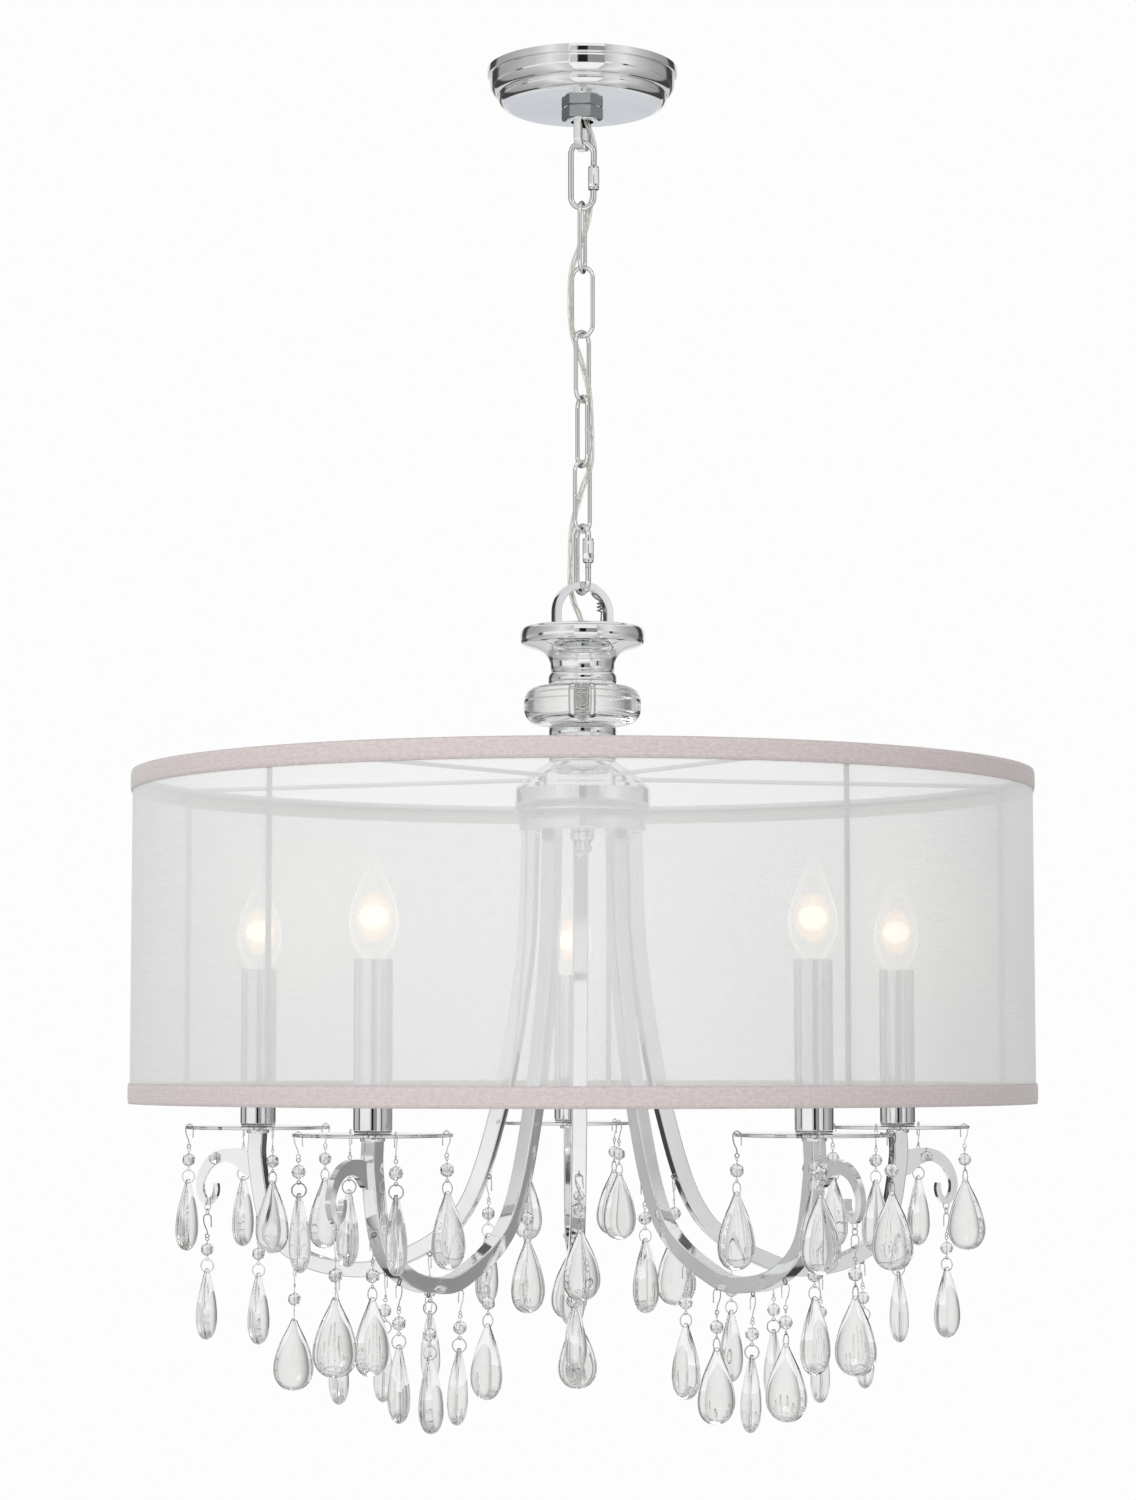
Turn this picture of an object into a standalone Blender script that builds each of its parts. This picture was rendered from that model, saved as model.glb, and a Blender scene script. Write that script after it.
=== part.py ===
"""A five-light drum chandelier, built piece by piece.

Units are metres and +Z is up. The origin is on the axis at the ceiling, so everything hangs below it.
Azimuths are counted from +X towards +Y, and the front of the chandelier faces -Y.
"""
from math import cos, pi, radians, sin

import bmesh
import bpy
from mathutils import Matrix, Vector

# Clearances
SEAT = 0.0003
ARCH_SEAT = 0.0006
OVERRUN = 0.004
WELD = 0.0015
MERGE = 0.000001

# How round the turned pieces and the wires are
ROUND_SIDES = 20
SHADE_SIDES = 40
WIRE_SIDES = 6

# Threaded tube that runs through the fixture and the ceiling plate
TUBE_R = 0.00485
TUBE_WALL = 0.00155

# Ceiling plate and canopy
CROSSBAR_LENGTH = 0.104
CROSSBAR_WIDTH = 0.022
CROSSBAR_T = 0.0022
CROSSBAR_SLOT_LENGTH = 0.016
CROSSBAR_SLOT_WIDTH = 0.0048
CROSSBAR_SLOT_EDGE = 0.008
CANOPY_R = 0.0683
CANOPY_DEPTH = 0.0285
CANOPY_WALL = 0.0012
CANOPY_HOLE_GAP = 0.0010
NIPPLE_NUT_LIP = 0.00365
NIPPLE_NUT_T = 0.003
COLLAR_WALL = 0.0023
COLLAR_HEIGHT = 0.0110
COLLAR_GROOVE = 0.0008
COLLAR_SIDES = 16

# Bracket that hangs from the canopy nipple and holds the chain
HANGER_BOSS_R = 0.0124
HANGER_BOSS_WALL = 0.0044
HANGER_BOSS_RISE = 0.0042
HANGER_TOP_T = 0.0046
NIPPLE_GRIP = 0.0030
HANGER_WIDTH = 0.0183
HANGER_DROP = 0.0605
HANGER_BAR = 0.0040
HANGER_BAR_DEPTH = 0.0048
HANGER_TURN_DEG = 65.0

# Chain
WIRE_D = 0.0030
LINK_LENGTH = 0.0533
LINK_WIDTH = 0.0188
QUICK_WIRE_D = 0.0040
QUICK_LENGTH = 0.0518
QUICK_WIDTH = 0.0203
QUICK_GAP = 0.0050
QUICK_NUT_WALL = 0.0019
QUICK_NUT_LENGTH = 0.0172
QUICK_NUT_COVER = 0.0012
UPPER_NUT_DROP = 0.0020
LOWER_NUT_RISE = 0.0054
QUICK_TURN_DEG = 0.0
LINK_TURNS_DEG = (76.0, 160.0, 54.0, 116.0, 48.0)
LOWER_QUICK_TURN_DEG = -60.0

# Flat ring on top of the fixture
RING_R = 0.0228
RING_BAR = 0.0056
RING_BAR_DEPTH = 0.0050
RING_LEG = 0.0065
RING_PLATE_LIP = 0.0034
RING_PLATE_T = 0.0030
STEM_RISE = 0.0005

# Turned stack
SPOOL_DISH_R = 0.0441
SPOOL_RIM_H = 0.0150
SPOOL_WALL_GAP = 0.0038
SPOOL_RECESS = 0.0042
SPOOL_HEIGHT = 0.0457
SPOOL_NECK_R = 0.0225
SPOOL_BEAD_R = 0.0252
GLASS_DISC_R = 0.0415
GLASS_DISC_H = 0.0270
GLASS_DISC_BORE_GAP = 0.0020
LOWER_COLLAR_R = 0.0241
LOWER_COLLAR_H = 0.0262

# Hub under the stack
HUB_R = 0.0478
HUB_COVER_H = 0.0355
HUB_DOME_H = 0.0200
HUB_WALL = 0.0014
PAN_GAP = 0.0011
PAN_H = 0.0140
PAN_LAP = 0.0060
PAN_WALL = 0.0016
FINIAL_LIP = 0.00365
FINIAL_H = 0.0155
FINIAL_GRIP = 0.0060

# Shade
SHADE_R = 0.3178
SHADE_TOP_DROP = 0.0092
SHADE_HEIGHT = 0.2310
TRIM_HEIGHT = 0.0140
TRIM_T = 0.0006
FABRIC_T = 0.0010
FABRIC_INSET = 0.0004
FRAME_WIRE_R = 0.0020
UPRIGHT_TURN_DEG = 14.0
SPIDER_RING_T = 0.0040
SPIDER_RING_WIDTH = 0.0040

# Arms
ARM_COUNT = 5
ARM_TURN_DEG = 19.9
ARM_BAR = 0.0112
ARM_ROOT_INSET = 0.0073
ARM_DEPTH = 0.3080
CANDLE_R = 0.2435
DISH_RISE = 0.1004
ARM_FLANGE_LIP = 0.0037
ARM_FLANGE_T = 0.0022
STUD_R = 0.0042
STUD_RISE = 0.0140
SCROLL_T = 0.0045
SCROLL_REACH = 0.0470
SCROLL_FALL = 0.0550
EYE_R = 0.0023
EYE_WIRE_R = 0.0007

# Glass dishes, candles and bulbs
DISH_R = 0.0520
DISH_T = 0.0022
DROP_HOLE_INSET = 0.0030
DISH_TURNS_DEG = (47.1, 45.0, 33.1, 54.1, 52.1)
CANDLE_SLEEVE_R = 0.0127
CANDLE_SLEEVE_WALL = 0.0009
CANDLE_SLEEVE_H = 0.1125
SOCKET_GAP = 0.0004
SOCKET_TOP_INSET = 0.0010
BULB_R = 0.0159
BULB_BASE_R = 0.0060
BULB_BASE_H = 0.0250
BULB_GLASS_H = 0.0705
BULB_SIDES = 10

# Hanging drops, measured down from the point that each one hangs on
STRAND_SIDES = 6
STRAND_WIRE_R = 0.0006
BEAD_DROP = 0.0245
BEAD_R = 0.0046
NECK_DROP = 0.0370
PEAR_LENGTH = 0.0510
PEAR_WIDTH = 0.0290
PEAR_T = 0.0140
STRAND_GRIP = 0.0022
HANG_RING_R = 0.0022

# Supply cord
CORD_D = 0.0040
CORD_STEP_SHARE = 2.6
CORD_ROUTE = (
    (0.0, 0.0, -0.0015), (0.0, 0.0, -0.0160), (0.0003, 0.0, -0.0270),
    (0.0018, 0.0, -0.0340), (0.0044, 0.0004, -0.0420), (0.0073, 0.0030, -0.0500),
    (0.0087, 0.0060, -0.0580), (0.0084, 0.0071, -0.0680), (0.0081, 0.0073, -0.0800),
    (0.0076, 0.0066, -0.0900), (0.0057, 0.0047, -0.0990), (0.0046, 0.0031, -0.1080),
    (0.0018, 0.0010, -0.1190), (-0.0012, -0.0003, -0.1280), (-0.0050, -0.0014, -0.1380),
    (-0.0075, -0.0019, -0.1470), (-0.0085, -0.0020, -0.1580), (-0.0086, -0.0020, -0.1780),
    (-0.0075, -0.0018, -0.1900), (-0.0062, -0.0014, -0.1970), (-0.0024, 0.0, -0.2080),
    (0.0010, 0.0004, -0.2190), (0.0038, 0.0002, -0.2300), (0.0052, 0.0, -0.2390),
    (0.0060, -0.0001, -0.2530), (0.0066, -0.0001, -0.2740), (0.0062, -0.0002, -0.2860),
    (0.0042, 0.0, -0.2940), (0.0003, 0.0003, -0.3040), (-0.0030, 0.0009, -0.3150),
    (-0.0063, 0.0013, -0.3270), (-0.0080, 0.0016, -0.3380), (-0.0084, 0.0022, -0.3520),
    (-0.0086, 0.0038, -0.3660), (-0.0086, 0.0056, -0.3740), (-0.0077, 0.0057, -0.3800),
    (-0.0056, 0.0041, -0.3880), (-0.0025, 0.0014, -0.3955), (-0.0005, 0.0002, -0.4030),
    (0.0, 0.0, -0.4100),
)

# A flat bar's chamfer, as a share of its thickness
BAR_CHAMFER_SHARE = 0.35
# Canopy's outer side from the ceiling down: share of its radius, share of its depth
CANOPY_OUTER_SHARES = (
    (1.0, 0.0), (1.0, 0.19), (0.970, 0.225), (0.952, 0.43), (0.893, 0.66), (0.880, 0.70), (0.855, 0.88),
    (0.780, 1.0),
)
# Canopy's inner side, likewise, before its wall is taken off the radius
CANOPY_INNER_SHARES = ((0.970, 0.0), (0.952, 0.40), (0.880, 0.66), (0.855, 0.86), (0.780, 0.975))
# Spool below its dish: share of the dish's, neck's or bead's radius, share of the spool's height
SPOOL_FLARE_SHARES = ((0.84, 0.43),)
SPOOL_NECK_SHARES = ((1.12, 0.56), (1.0, 0.72))
SPOOL_BEAD_SHARES = ((1.0, 0.92), (0.96, 1.0))
# How far the edge of each round piece reaches in, as a share of half its height or of its radius
SPOOL_EDGE_SHARE = 0.6
GLASS_EDGE_SHARE = 0.8
LOWER_COLLAR_EDGE_SHARE = 0.12
# Finial from its top down: share of its radius, share of its height; then its ball, likewise
FINIAL_SHARES = ((1.0, 0.35), (0.7, 0.5))
FINIAL_BALL_SHARES = (0.82, 0.32)
# Uprights and spokes, as shares of the frame's wire
UPRIGHT_SHARE = 0.9
SPOKE_SHARE = 0.765
# Bulb from its socket up: share of the glass's height, share of its radius; then the foot of its base
BULB_SHARES = (
    (0.05, 0.52), (0.14, 0.80), (0.27, 0.97), (0.40, 1.0), (0.60, 0.78), (0.80, 0.38), (0.96, 0.12),
)
BULB_FOOT_SHARES = (0.6, 0.2)
# Bead from its top down: share of its radius from its middle, share of its radius in width
BEAD_SHARES = ((-1.0, 0.3), (0.0, 1.0), (1.0, 0.3))
# Pear outline from its top down: share of its length, share of its half width
PEAR_SHARES = ((0.0, 0.16), (0.30, 0.72), (0.64, 1.0), (0.985, 0.18))
# The way each pear on each arm's dish, and each pear under an arm, is turned about its wire
DISH_PEAR_TURNS_DEG = (
    (50.0, 120.0, 10.0, 45.0), (110.0, 20.0, 75.0, 140.0), (85.0, 40.0, 20.0, 80.0), (25.0, 90.0, 60.0, 88.0),
    (0.0, 40.0, 6.0, 174.0),
)
ARM_PEAR_TURNS_DEG = (70.0, 15.0, 118.0, 50.0, 160.0, 95.0)
# Hub dome from the collar out: share of the way to the rim, share of its height
DOME_SHARES = ((0.35, 0.26), (0.62, 0.50), (0.80, 0.70), (0.93, 0.885), (1.0, 1.0))
# Arm centre line: share of the way from its root out to the candle, share of its depth
ARM_SHARES = (
    (0.0, 0.0), (0.022, 0.30), (0.112, 0.63), (0.255, 0.880), (0.520, 0.990), (0.700, 1.0), (0.850, 0.970),
    (0.955, 0.900), (1.0, 0.760),
)
# Places where its six drops hang, as shares of the arm's length along its centre line
ARM_PIN_SHARES = (0.477, 0.610, 0.677, 0.744, 0.8055, 0.881)
# Scroll, out from the candle's axis and down from the dish: two shares for its place, one for its width,
# which is a share of its reach
SCROLL_SHARES = (
    (0.030, 0.464, 0.362), (0.130, 0.455, 0.350), (0.290, 0.375, 0.270), (0.500, 0.341, 0.202),
    (0.690, 0.385, 0.172), (0.840, 0.500, 0.146), (0.935, 0.690, 0.118), (0.915, 0.860, 0.106),
    (0.819, 0.957, 0.096), (0.715, 0.900, 0.088), (0.672, 0.800, 0.080), (0.677, 0.712, 0.068),
)

# Radii that follow the piece inside or outside
TUBE_BORE_R = TUBE_R - TUBE_WALL
TUBE_HOLE_R = TUBE_R + SEAT
NIPPLE_NUT_R = TUBE_R + NIPPLE_NUT_LIP
CANOPY_HOLE_R = HANGER_BOSS_R + CANOPY_HOLE_GAP
COLLAR_BORE_R = HANGER_BOSS_R + SEAT
COLLAR_R = COLLAR_BORE_R + COLLAR_WALL
HANGER_CAVITY_R = HANGER_BOSS_R - HANGER_BOSS_WALL
QUICK_NUT_BORE_R = QUICK_WIRE_D / 2 + SEAT
QUICK_NUT_R = QUICK_NUT_BORE_R + QUICK_NUT_WALL
RING_PLATE_R = RING_R + RING_PLATE_LIP
SPOOL_WALL_R = RING_PLATE_R + SPOOL_WALL_GAP
GLASS_DISC_BORE_R = TUBE_R + GLASS_DISC_BORE_GAP
PAN_R = HUB_R - HUB_WALL - PAN_GAP
ARM_ROOT_R = PAN_R - ARM_ROOT_INSET
FINIAL_R = TUBE_R + FINIAL_LIP
DISH_HOLE_R = STUD_R + SEAT
ARM_FLANGE_R = DISH_HOLE_R + ARM_FLANGE_LIP
SOCKET_R = CANDLE_SLEEVE_R - CANDLE_SLEEVE_WALL - SOCKET_GAP
SOCKET_BORE_R = BULB_BASE_R + SOCKET_GAP
FABRIC_R = SHADE_R - TRIM_T - SEAT
FRAME_RING_R = FABRIC_R - FABRIC_T - SEAT - FRAME_WIRE_R

# Levels of the seats, worked out from the ceiling down
CANOPY_BOTTOM_Z = -CANOPY_DEPTH
COLLAR_TOP_Z = CANOPY_BOTTOM_Z - SEAT
HANGER_TOP_Z = CANOPY_BOTTOM_Z + HANGER_BOSS_RISE
HANGER_LOW_Z = -HANGER_DROP
NIPPLE_LOW_Z = HANGER_TOP_Z - NIPPLE_GRIP
QUICK_TOP_Z = HANGER_LOW_Z + HANGER_BAR + ARCH_SEAT + QUICK_WIRE_D
FIRST_LINK_TOP_Z = QUICK_TOP_Z - QUICK_LENGTH + QUICK_WIRE_D + SEAT + WIRE_D
LINK_PITCH = LINK_LENGTH - 2 * WIRE_D - SEAT
LAST_LINK_TOP_Z = FIRST_LINK_TOP_Z - (len(LINK_TURNS_DEG) - 1) * LINK_PITCH
LOWER_QUICK_TOP_Z = LAST_LINK_TOP_Z - LINK_LENGTH + WIRE_D + SEAT + QUICK_WIRE_D
RING_INNER_TOP_Z = LOWER_QUICK_TOP_Z - QUICK_LENGTH + QUICK_WIRE_D + SEAT
RING_TOP_Z = RING_INNER_TOP_Z + RING_BAR
SPOOL_TOP_Z = RING_TOP_Z - RING_R - RING_LEG
RING_PLATE_Z = SPOOL_TOP_Z - SPOOL_RECESS + SEAT
SPOOL_LOW_Z = SPOOL_TOP_Z - SPOOL_HEIGHT
GLASS_TOP_Z = SPOOL_LOW_Z - SEAT
GLASS_LOW_Z = GLASS_TOP_Z - GLASS_DISC_H
LOWER_COLLAR_TOP_Z = GLASS_LOW_Z - SEAT
HUB_TOP_Z = LOWER_COLLAR_TOP_Z - LOWER_COLLAR_H - SEAT
HUB_EDGE_Z = HUB_TOP_Z - HUB_COVER_H
PAN_LOW_Z = HUB_EDGE_Z - PAN_H
FINIAL_TOP_Z = PAN_LOW_Z - SEAT
ARM_TOP_Z = PAN_LOW_Z - SEAT
SHADE_TOP_Z = HUB_TOP_Z - SHADE_TOP_DROP
SHADE_LOW_Z = SHADE_TOP_Z - SHADE_HEIGHT
DISH_TOP_Z = ARM_TOP_Z - ARM_DEPTH + DISH_RISE
ARM_SEAT_Z = DISH_TOP_Z - DISH_T - SEAT
CANDLE_Z = DISH_TOP_Z + SEAT
CANDLE_TOP_Z = CANDLE_Z + CANDLE_SLEEVE_H


def clear_scene():
    """Remove the objects that the file opens with."""
    for old in list(bpy.data.objects):
        bpy.data.objects.remove(old, do_unlink=True)


def finish(name, colour, roughness, metallic, transmission=0.0):
    """Make one plain finish."""
    material = bpy.data.materials.new(name)
    material.use_nodes = True
    shader = material.node_tree.nodes["Principled BSDF"]
    shader.inputs["Base Color"].default_value = (*colour, 1.0)
    shader.inputs["Roughness"].default_value = roughness
    shader.inputs["Metallic"].default_value = metallic
    shader.inputs["Transmission Weight"].default_value = transmission
    return material


def add_object(name, mesh, material, smooth_deg=35.0):
    """Put a finished mesh into the scene under its own name."""
    mesh.materials.clear()
    mesh.materials.append(material)
    mesh.shade_smooth()
    mesh.set_sharp_from_angle(angle=radians(smooth_deg))
    piece = bpy.data.objects.new(name, mesh)
    bpy.context.collection.objects.link(piece)
    return piece


def mesh_from(bm, name):
    """Close a bmesh into a mesh whose faces point out."""
    bmesh.ops.remove_doubles(bm, verts=bm.verts, dist=MERGE)
    bmesh.ops.recalc_face_normals(bm, faces=bm.faces)
    mesh = bpy.data.meshes.new(name)
    bm.to_mesh(mesh)
    bm.free()
    return mesh


def turned_mesh(name, outline, sides=ROUND_SIDES):
    """Spin an outline of (radius, height) points about the vertical axis.

    An outline that stays off the axis is a ring and is closed. One that starts and ends on the axis is solid.
    """
    bm = bmesh.new()
    points = [bm.verts.new((radius, 0.0, height)) for radius, height in outline]
    edges = [bm.edges.new(pair) for pair in zip(points, points[1:])]
    if outline[0][0] > 0 and outline[-1][0] > 0:
        edges.append(bm.edges.new((points[-1], points[0])))
    bmesh.ops.spin(
        bm, geom=points + edges, cent=(0, 0, 0), axis=(0, 0, 1), angle=2 * pi, steps=sides, use_merge=True
    )
    return mesh_from(bm, name)


def arc(centre_r, centre_z, radius_r, radius_z, start_deg, end_deg, steps):
    """Points of a round stretch of an outline, from one angle to another."""
    found = []
    for step in range(steps + 1):
        angle = radians(start_deg + (end_deg - start_deg) * step / steps)
        found.append((centre_r + radius_r * cos(angle), centre_z + radius_z * sin(angle)))
    return found


def inset_outline(outline, wall):
    """The inner side of a wall: each point moved across the outline by the wall's thickness."""
    moved = []
    last = len(outline) - 1
    for index, point in enumerate(outline):
        before = Vector(outline[max(index - 1, 0)])
        after = Vector(outline[min(index + 1, last)])
        here = Vector(point)
        sides = [step.normalized() for step in (here - before, after - here) if step.length > 0]
        normals = [Vector((side.y, -side.x)) for side in sides]
        across = sum(normals, Vector((0, 0))).normalized()
        moved.append(tuple(here - across * wall / across.dot(normals[0])))
    return moved


def shell_outline(outline, wall):
    """A closed outline for a thin turned shell whose outer side is given, running down and inwards."""
    return outline + list(reversed(inset_outline(outline, -wall)))


def smooth_path(points, steps):
    """A smooth curve through the given points, with some steps between each two of them."""
    vectors = [Vector(point) for point in points]
    ends = [vectors[0] * 2 - vectors[1]] + vectors + [vectors[-1] * 2 - vectors[-2]]
    found = []
    for a, b, c, d in zip(ends, ends[1:], ends[2:], ends[3:]):
        for step in range(steps):
            t = step / steps
            bend = a * 2 - b * 5 + c * 4 - d
            twist = b * 3 - a - c * 3 + d
            found.append((b * 2 + (c - a) * t + bend * t**2 + twist * t**3) / 2)
    return found + [vectors[-1]]


def bar_section(across, deep, chamfer):
    """Corners of a bar's section: its size across the path, its size out of the path's plane, its chamfer."""
    a, d, c = across / 2, deep / 2, chamfer
    if c == 0:
        return [(a, d), (-a, d), (-a, -d), (a, -d)]
    return [
        (a - c, d), (c - a, d), (-a, d - c), (-a, c - d), (c - a, -d), (a - c, -d), (a, c - d), (a, d - c),
    ]


def round_section(radius, sides=WIRE_SIDES):
    """Corners of a round wire's section."""
    return [(radius * cos(2 * pi * k / sides), radius * sin(2 * pi * k / sides)) for k in range(sides)]


def bridge(bm, one, other):
    """Join two rings of points with faces."""
    count = len(one)
    for k in range(count):
        bm.faces.new((one[k], one[(k + 1) % count], other[(k + 1) % count], other[k]))


def swept_mesh(name, path, section, closed=False, widths=None):
    """Carry a section along a path of (x, z) points in the XZ plane."""
    bm = bmesh.new()
    points = [Vector(point) for point in path]
    count = len(points)
    rings = []
    for index, here in enumerate(points):
        before = points[index - 1] if closed or index else here
        after = points[(index + 1) % count] if closed or index < count - 1 else here
        along = (after - before).normalized()
        across = Vector((-along.y, along.x))
        scale = widths[index] if widths else 1.0
        rings.append(
            [bm.verts.new((here.x + across.x * a * scale, d, here.y + across.y * a * scale))
             for a, d in section]
        )
    for one, other in zip(rings, rings[1:]):
        bridge(bm, one, other)
    if closed:
        bridge(bm, rings[-1], rings[0])
    else:
        bm.faces.new(rings[0])
        bm.faces.new(rings[-1])
    return mesh_from(bm, name)


def stadium(length, width, corner_steps):
    """A long loop in the XZ plane, with straight sides and round ends, from its top downwards."""
    radius = width / 2
    low = -length + radius
    steps = range(corner_steps + 1)
    turns = [(radius * cos(pi * k / corner_steps), radius * sin(pi * k / corner_steps)) for k in steps]
    upper = [(-across, up - radius) for across, up in turns]
    lower = [(across, low - up) for across, up in turns]
    return upper + lower


def fused(name, meshes, material):
    """Weld several closed meshes, given in one frame, into one body."""
    pieces = []
    for number, mesh in enumerate(meshes):
        piece = bpy.data.objects.new(f"{name}_{number}", mesh)
        bpy.context.collection.objects.link(piece)
        pieces.append(piece)
    base, rest = pieces[0], pieces[1:]
    group = bpy.data.collections.new(name + "_group")
    for piece in rest:
        group.objects.link(piece)
    weld = base.modifiers.new("weld", "BOOLEAN")
    weld.operation = "UNION"
    weld.operand_type = "COLLECTION"
    weld.collection = group
    weld.solver = "EXACT"
    bpy.context.view_layer.update()
    seen = bpy.context.evaluated_depsgraph_get()
    mesh = bpy.data.meshes.new_from_object(base.evaluated_get(seen))
    mesh.name = name
    for piece in pieces:
        bpy.data.objects.remove(piece, do_unlink=True)
    bpy.data.collections.remove(group)
    return add_object(name, mesh, material)


def cut(piece, cutter_mesh):
    """Cut a closed shape out of a piece with a modifier that stays on it."""
    cutter = bpy.data.objects.new(piece.name + "_cutter", cutter_mesh)
    bpy.context.collection.objects.link(cutter)
    cutter.hide_render = True
    cutter.display_type = "WIRE"
    cutter.parent = piece
    hole = piece.modifiers.new("hole", "BOOLEAN")
    hole.operation = "DIFFERENCE"
    hole.solver = "EXACT"
    hole.object = cutter


def box_mesh(name, low, high):
    """A block between two corners."""
    bm = bmesh.new()
    size = Vector(high) - Vector(low)
    middle = (Vector(high) + Vector(low)) / 2
    bmesh.ops.create_cube(bm, size=1.0, matrix=Matrix.Translation(middle) @ Matrix.Diagonal((*size, 1)))
    return mesh_from(bm, name)


def moved_mesh(mesh, offset=(0, 0, 0), turn=0.0):
    """Turn a mesh about the vertical axis, then move it."""
    mesh.transform(Matrix.Translation(offset) @ Matrix.Rotation(turn, 4, "Z"))
    return mesh


def strand_mesh(name, hang, turn, grip=STRAND_GRIP):
    """One hanging drop as a single body: its wire, bead, neck and flat pear, turned about the wire."""
    stations = [(-grip, STRAND_WIRE_R, STRAND_WIRE_R)]
    for rise, share in BEAD_SHARES:
        stations.append((BEAD_DROP + rise * BEAD_R, BEAD_R * share, BEAD_R * share))
    for down, share in PEAR_SHARES:
        stations.append((NECK_DROP + down * PEAR_LENGTH, share * PEAR_WIDTH / 2, share * PEAR_T / 2))
    bm = bmesh.new()
    rings = []
    for down, wide, thick in stations:
        ring = []
        for k in range(STRAND_SIDES):
            angle = 2 * pi * k / STRAND_SIDES
            flat = Vector((wide * cos(angle), thick * sin(angle), -down))
            ring.append(bm.verts.new(Matrix.Rotation(turn, 3, "Z") @ flat + Vector(hang)))
        rings.append(ring)
    for one, other in zip(rings, rings[1:]):
        bridge(bm, one, other)
    bm.faces.new(rings[0])
    bm.faces.new(rings[-1])
    return mesh_from(bm, name)


def ring_mesh(name, centre, radius, wire_r, turn=0.0, sides=8, wire_sides=4):
    """A small upright wire ring; at no turn it lies in the XZ plane."""
    path = [(radius * cos(2 * pi * k / sides), radius * sin(2 * pi * k / sides)) for k in range(sides)]
    mesh = swept_mesh(name, path, round_section(wire_r, wire_sides), closed=True)
    return moved_mesh(mesh, centre, turn)


def tube_outline(outer, bore, low, high):
    """The outline of a plain tube."""
    return [(bore, high), (outer, high), (outer, low), (bore, low)]


def place(name, location=(0, 0, 0), turn=0.0, parent=None):
    """An empty that a group of pieces is parented to."""
    empty = bpy.data.objects.new(name, None)
    empty.location = location
    empty.rotation_euler = (0, 0, turn)
    empty.parent = parent
    bpy.context.collection.objects.link(empty)
    return empty


def build_ceiling_plate(steel):
    """The strap that is screwed to the ceiling box, and the nipple that hangs from it."""
    half = CROSSBAR_LENGTH / 2
    low = (-half, -CROSSBAR_WIDTH / 2, -CROSSBAR_T)
    high = (half, CROSSBAR_WIDTH / 2, 0.0)
    strap = add_object("ceiling_crossbar", box_mesh("ceiling_crossbar", low, high), steel)
    below = -CROSSBAR_T - OVERRUN
    hole = [(0, OVERRUN), (TUBE_HOLE_R, OVERRUN), (TUBE_HOLE_R, below), (0, below)]
    cut(strap, turned_mesh("nipple_hole", hole))
    for side in (-1, 1):
        middle = side * (half - CROSSBAR_SLOT_EDGE - CROSSBAR_SLOT_LENGTH / 2)
        low = (middle - CROSSBAR_SLOT_LENGTH / 2, -CROSSBAR_SLOT_WIDTH / 2, below)
        high = (middle + CROSSBAR_SLOT_LENGTH / 2, CROSSBAR_SLOT_WIDTH / 2, OVERRUN)
        cut(strap, box_mesh("screw_slot", low, high))
    nut_top = -CROSSBAR_T - SEAT
    outline = [
        (TUBE_BORE_R, -CROSSBAR_T / 2), (TUBE_R, -CROSSBAR_T / 2), (TUBE_R, nut_top), (NIPPLE_NUT_R, nut_top),
        (NIPPLE_NUT_R, nut_top - NIPPLE_NUT_T), (TUBE_R, nut_top - NIPPLE_NUT_T),
        (TUBE_R, NIPPLE_LOW_Z), (TUBE_BORE_R, NIPPLE_LOW_Z),
    ]
    add_object("canopy_nipple", turned_mesh("canopy_nipple", outline, 16), steel)


def build_canopy(chrome, grey):
    """The spun canopy with its two bulges, and the two-ring collar under it."""
    outer = [(across * CANOPY_R, -down * CANOPY_DEPTH) for across, down in CANOPY_OUTER_SHARES]
    outer.append((CANOPY_HOLE_R, CANOPY_BOTTOM_Z))
    roof = CANOPY_BOTTOM_Z + CANOPY_WALL
    hollow = CANOPY_DEPTH - CANOPY_WALL
    inner = [(across * CANOPY_R - CANOPY_WALL, -down * hollow) for across, down in CANOPY_INNER_SHARES]
    inner.append((CANOPY_HOLE_R, roof))
    outline = outer + list(reversed(inner))
    add_object("ceiling_canopy", turned_mesh("ceiling_canopy", outline, ROUND_SIDES), chrome)
    low = COLLAR_TOP_Z - COLLAR_HEIGHT
    middle = COLLAR_TOP_Z - COLLAR_HEIGHT / 2
    outline = [
        (COLLAR_BORE_R, COLLAR_TOP_Z), (COLLAR_R - COLLAR_GROOVE, COLLAR_TOP_Z),
        (COLLAR_R, COLLAR_TOP_Z - COLLAR_GROOVE), (COLLAR_R, middle + COLLAR_GROOVE / 2),
        (COLLAR_R - COLLAR_GROOVE, middle), (COLLAR_R, middle - COLLAR_GROOVE / 2),
        (COLLAR_R, low + COLLAR_GROOVE), (COLLAR_R - COLLAR_GROOVE, low), (COLLAR_BORE_R, low),
    ]
    add_object("loop_collar", turned_mesh("loop_collar", outline, COLLAR_SIDES), grey)


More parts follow.
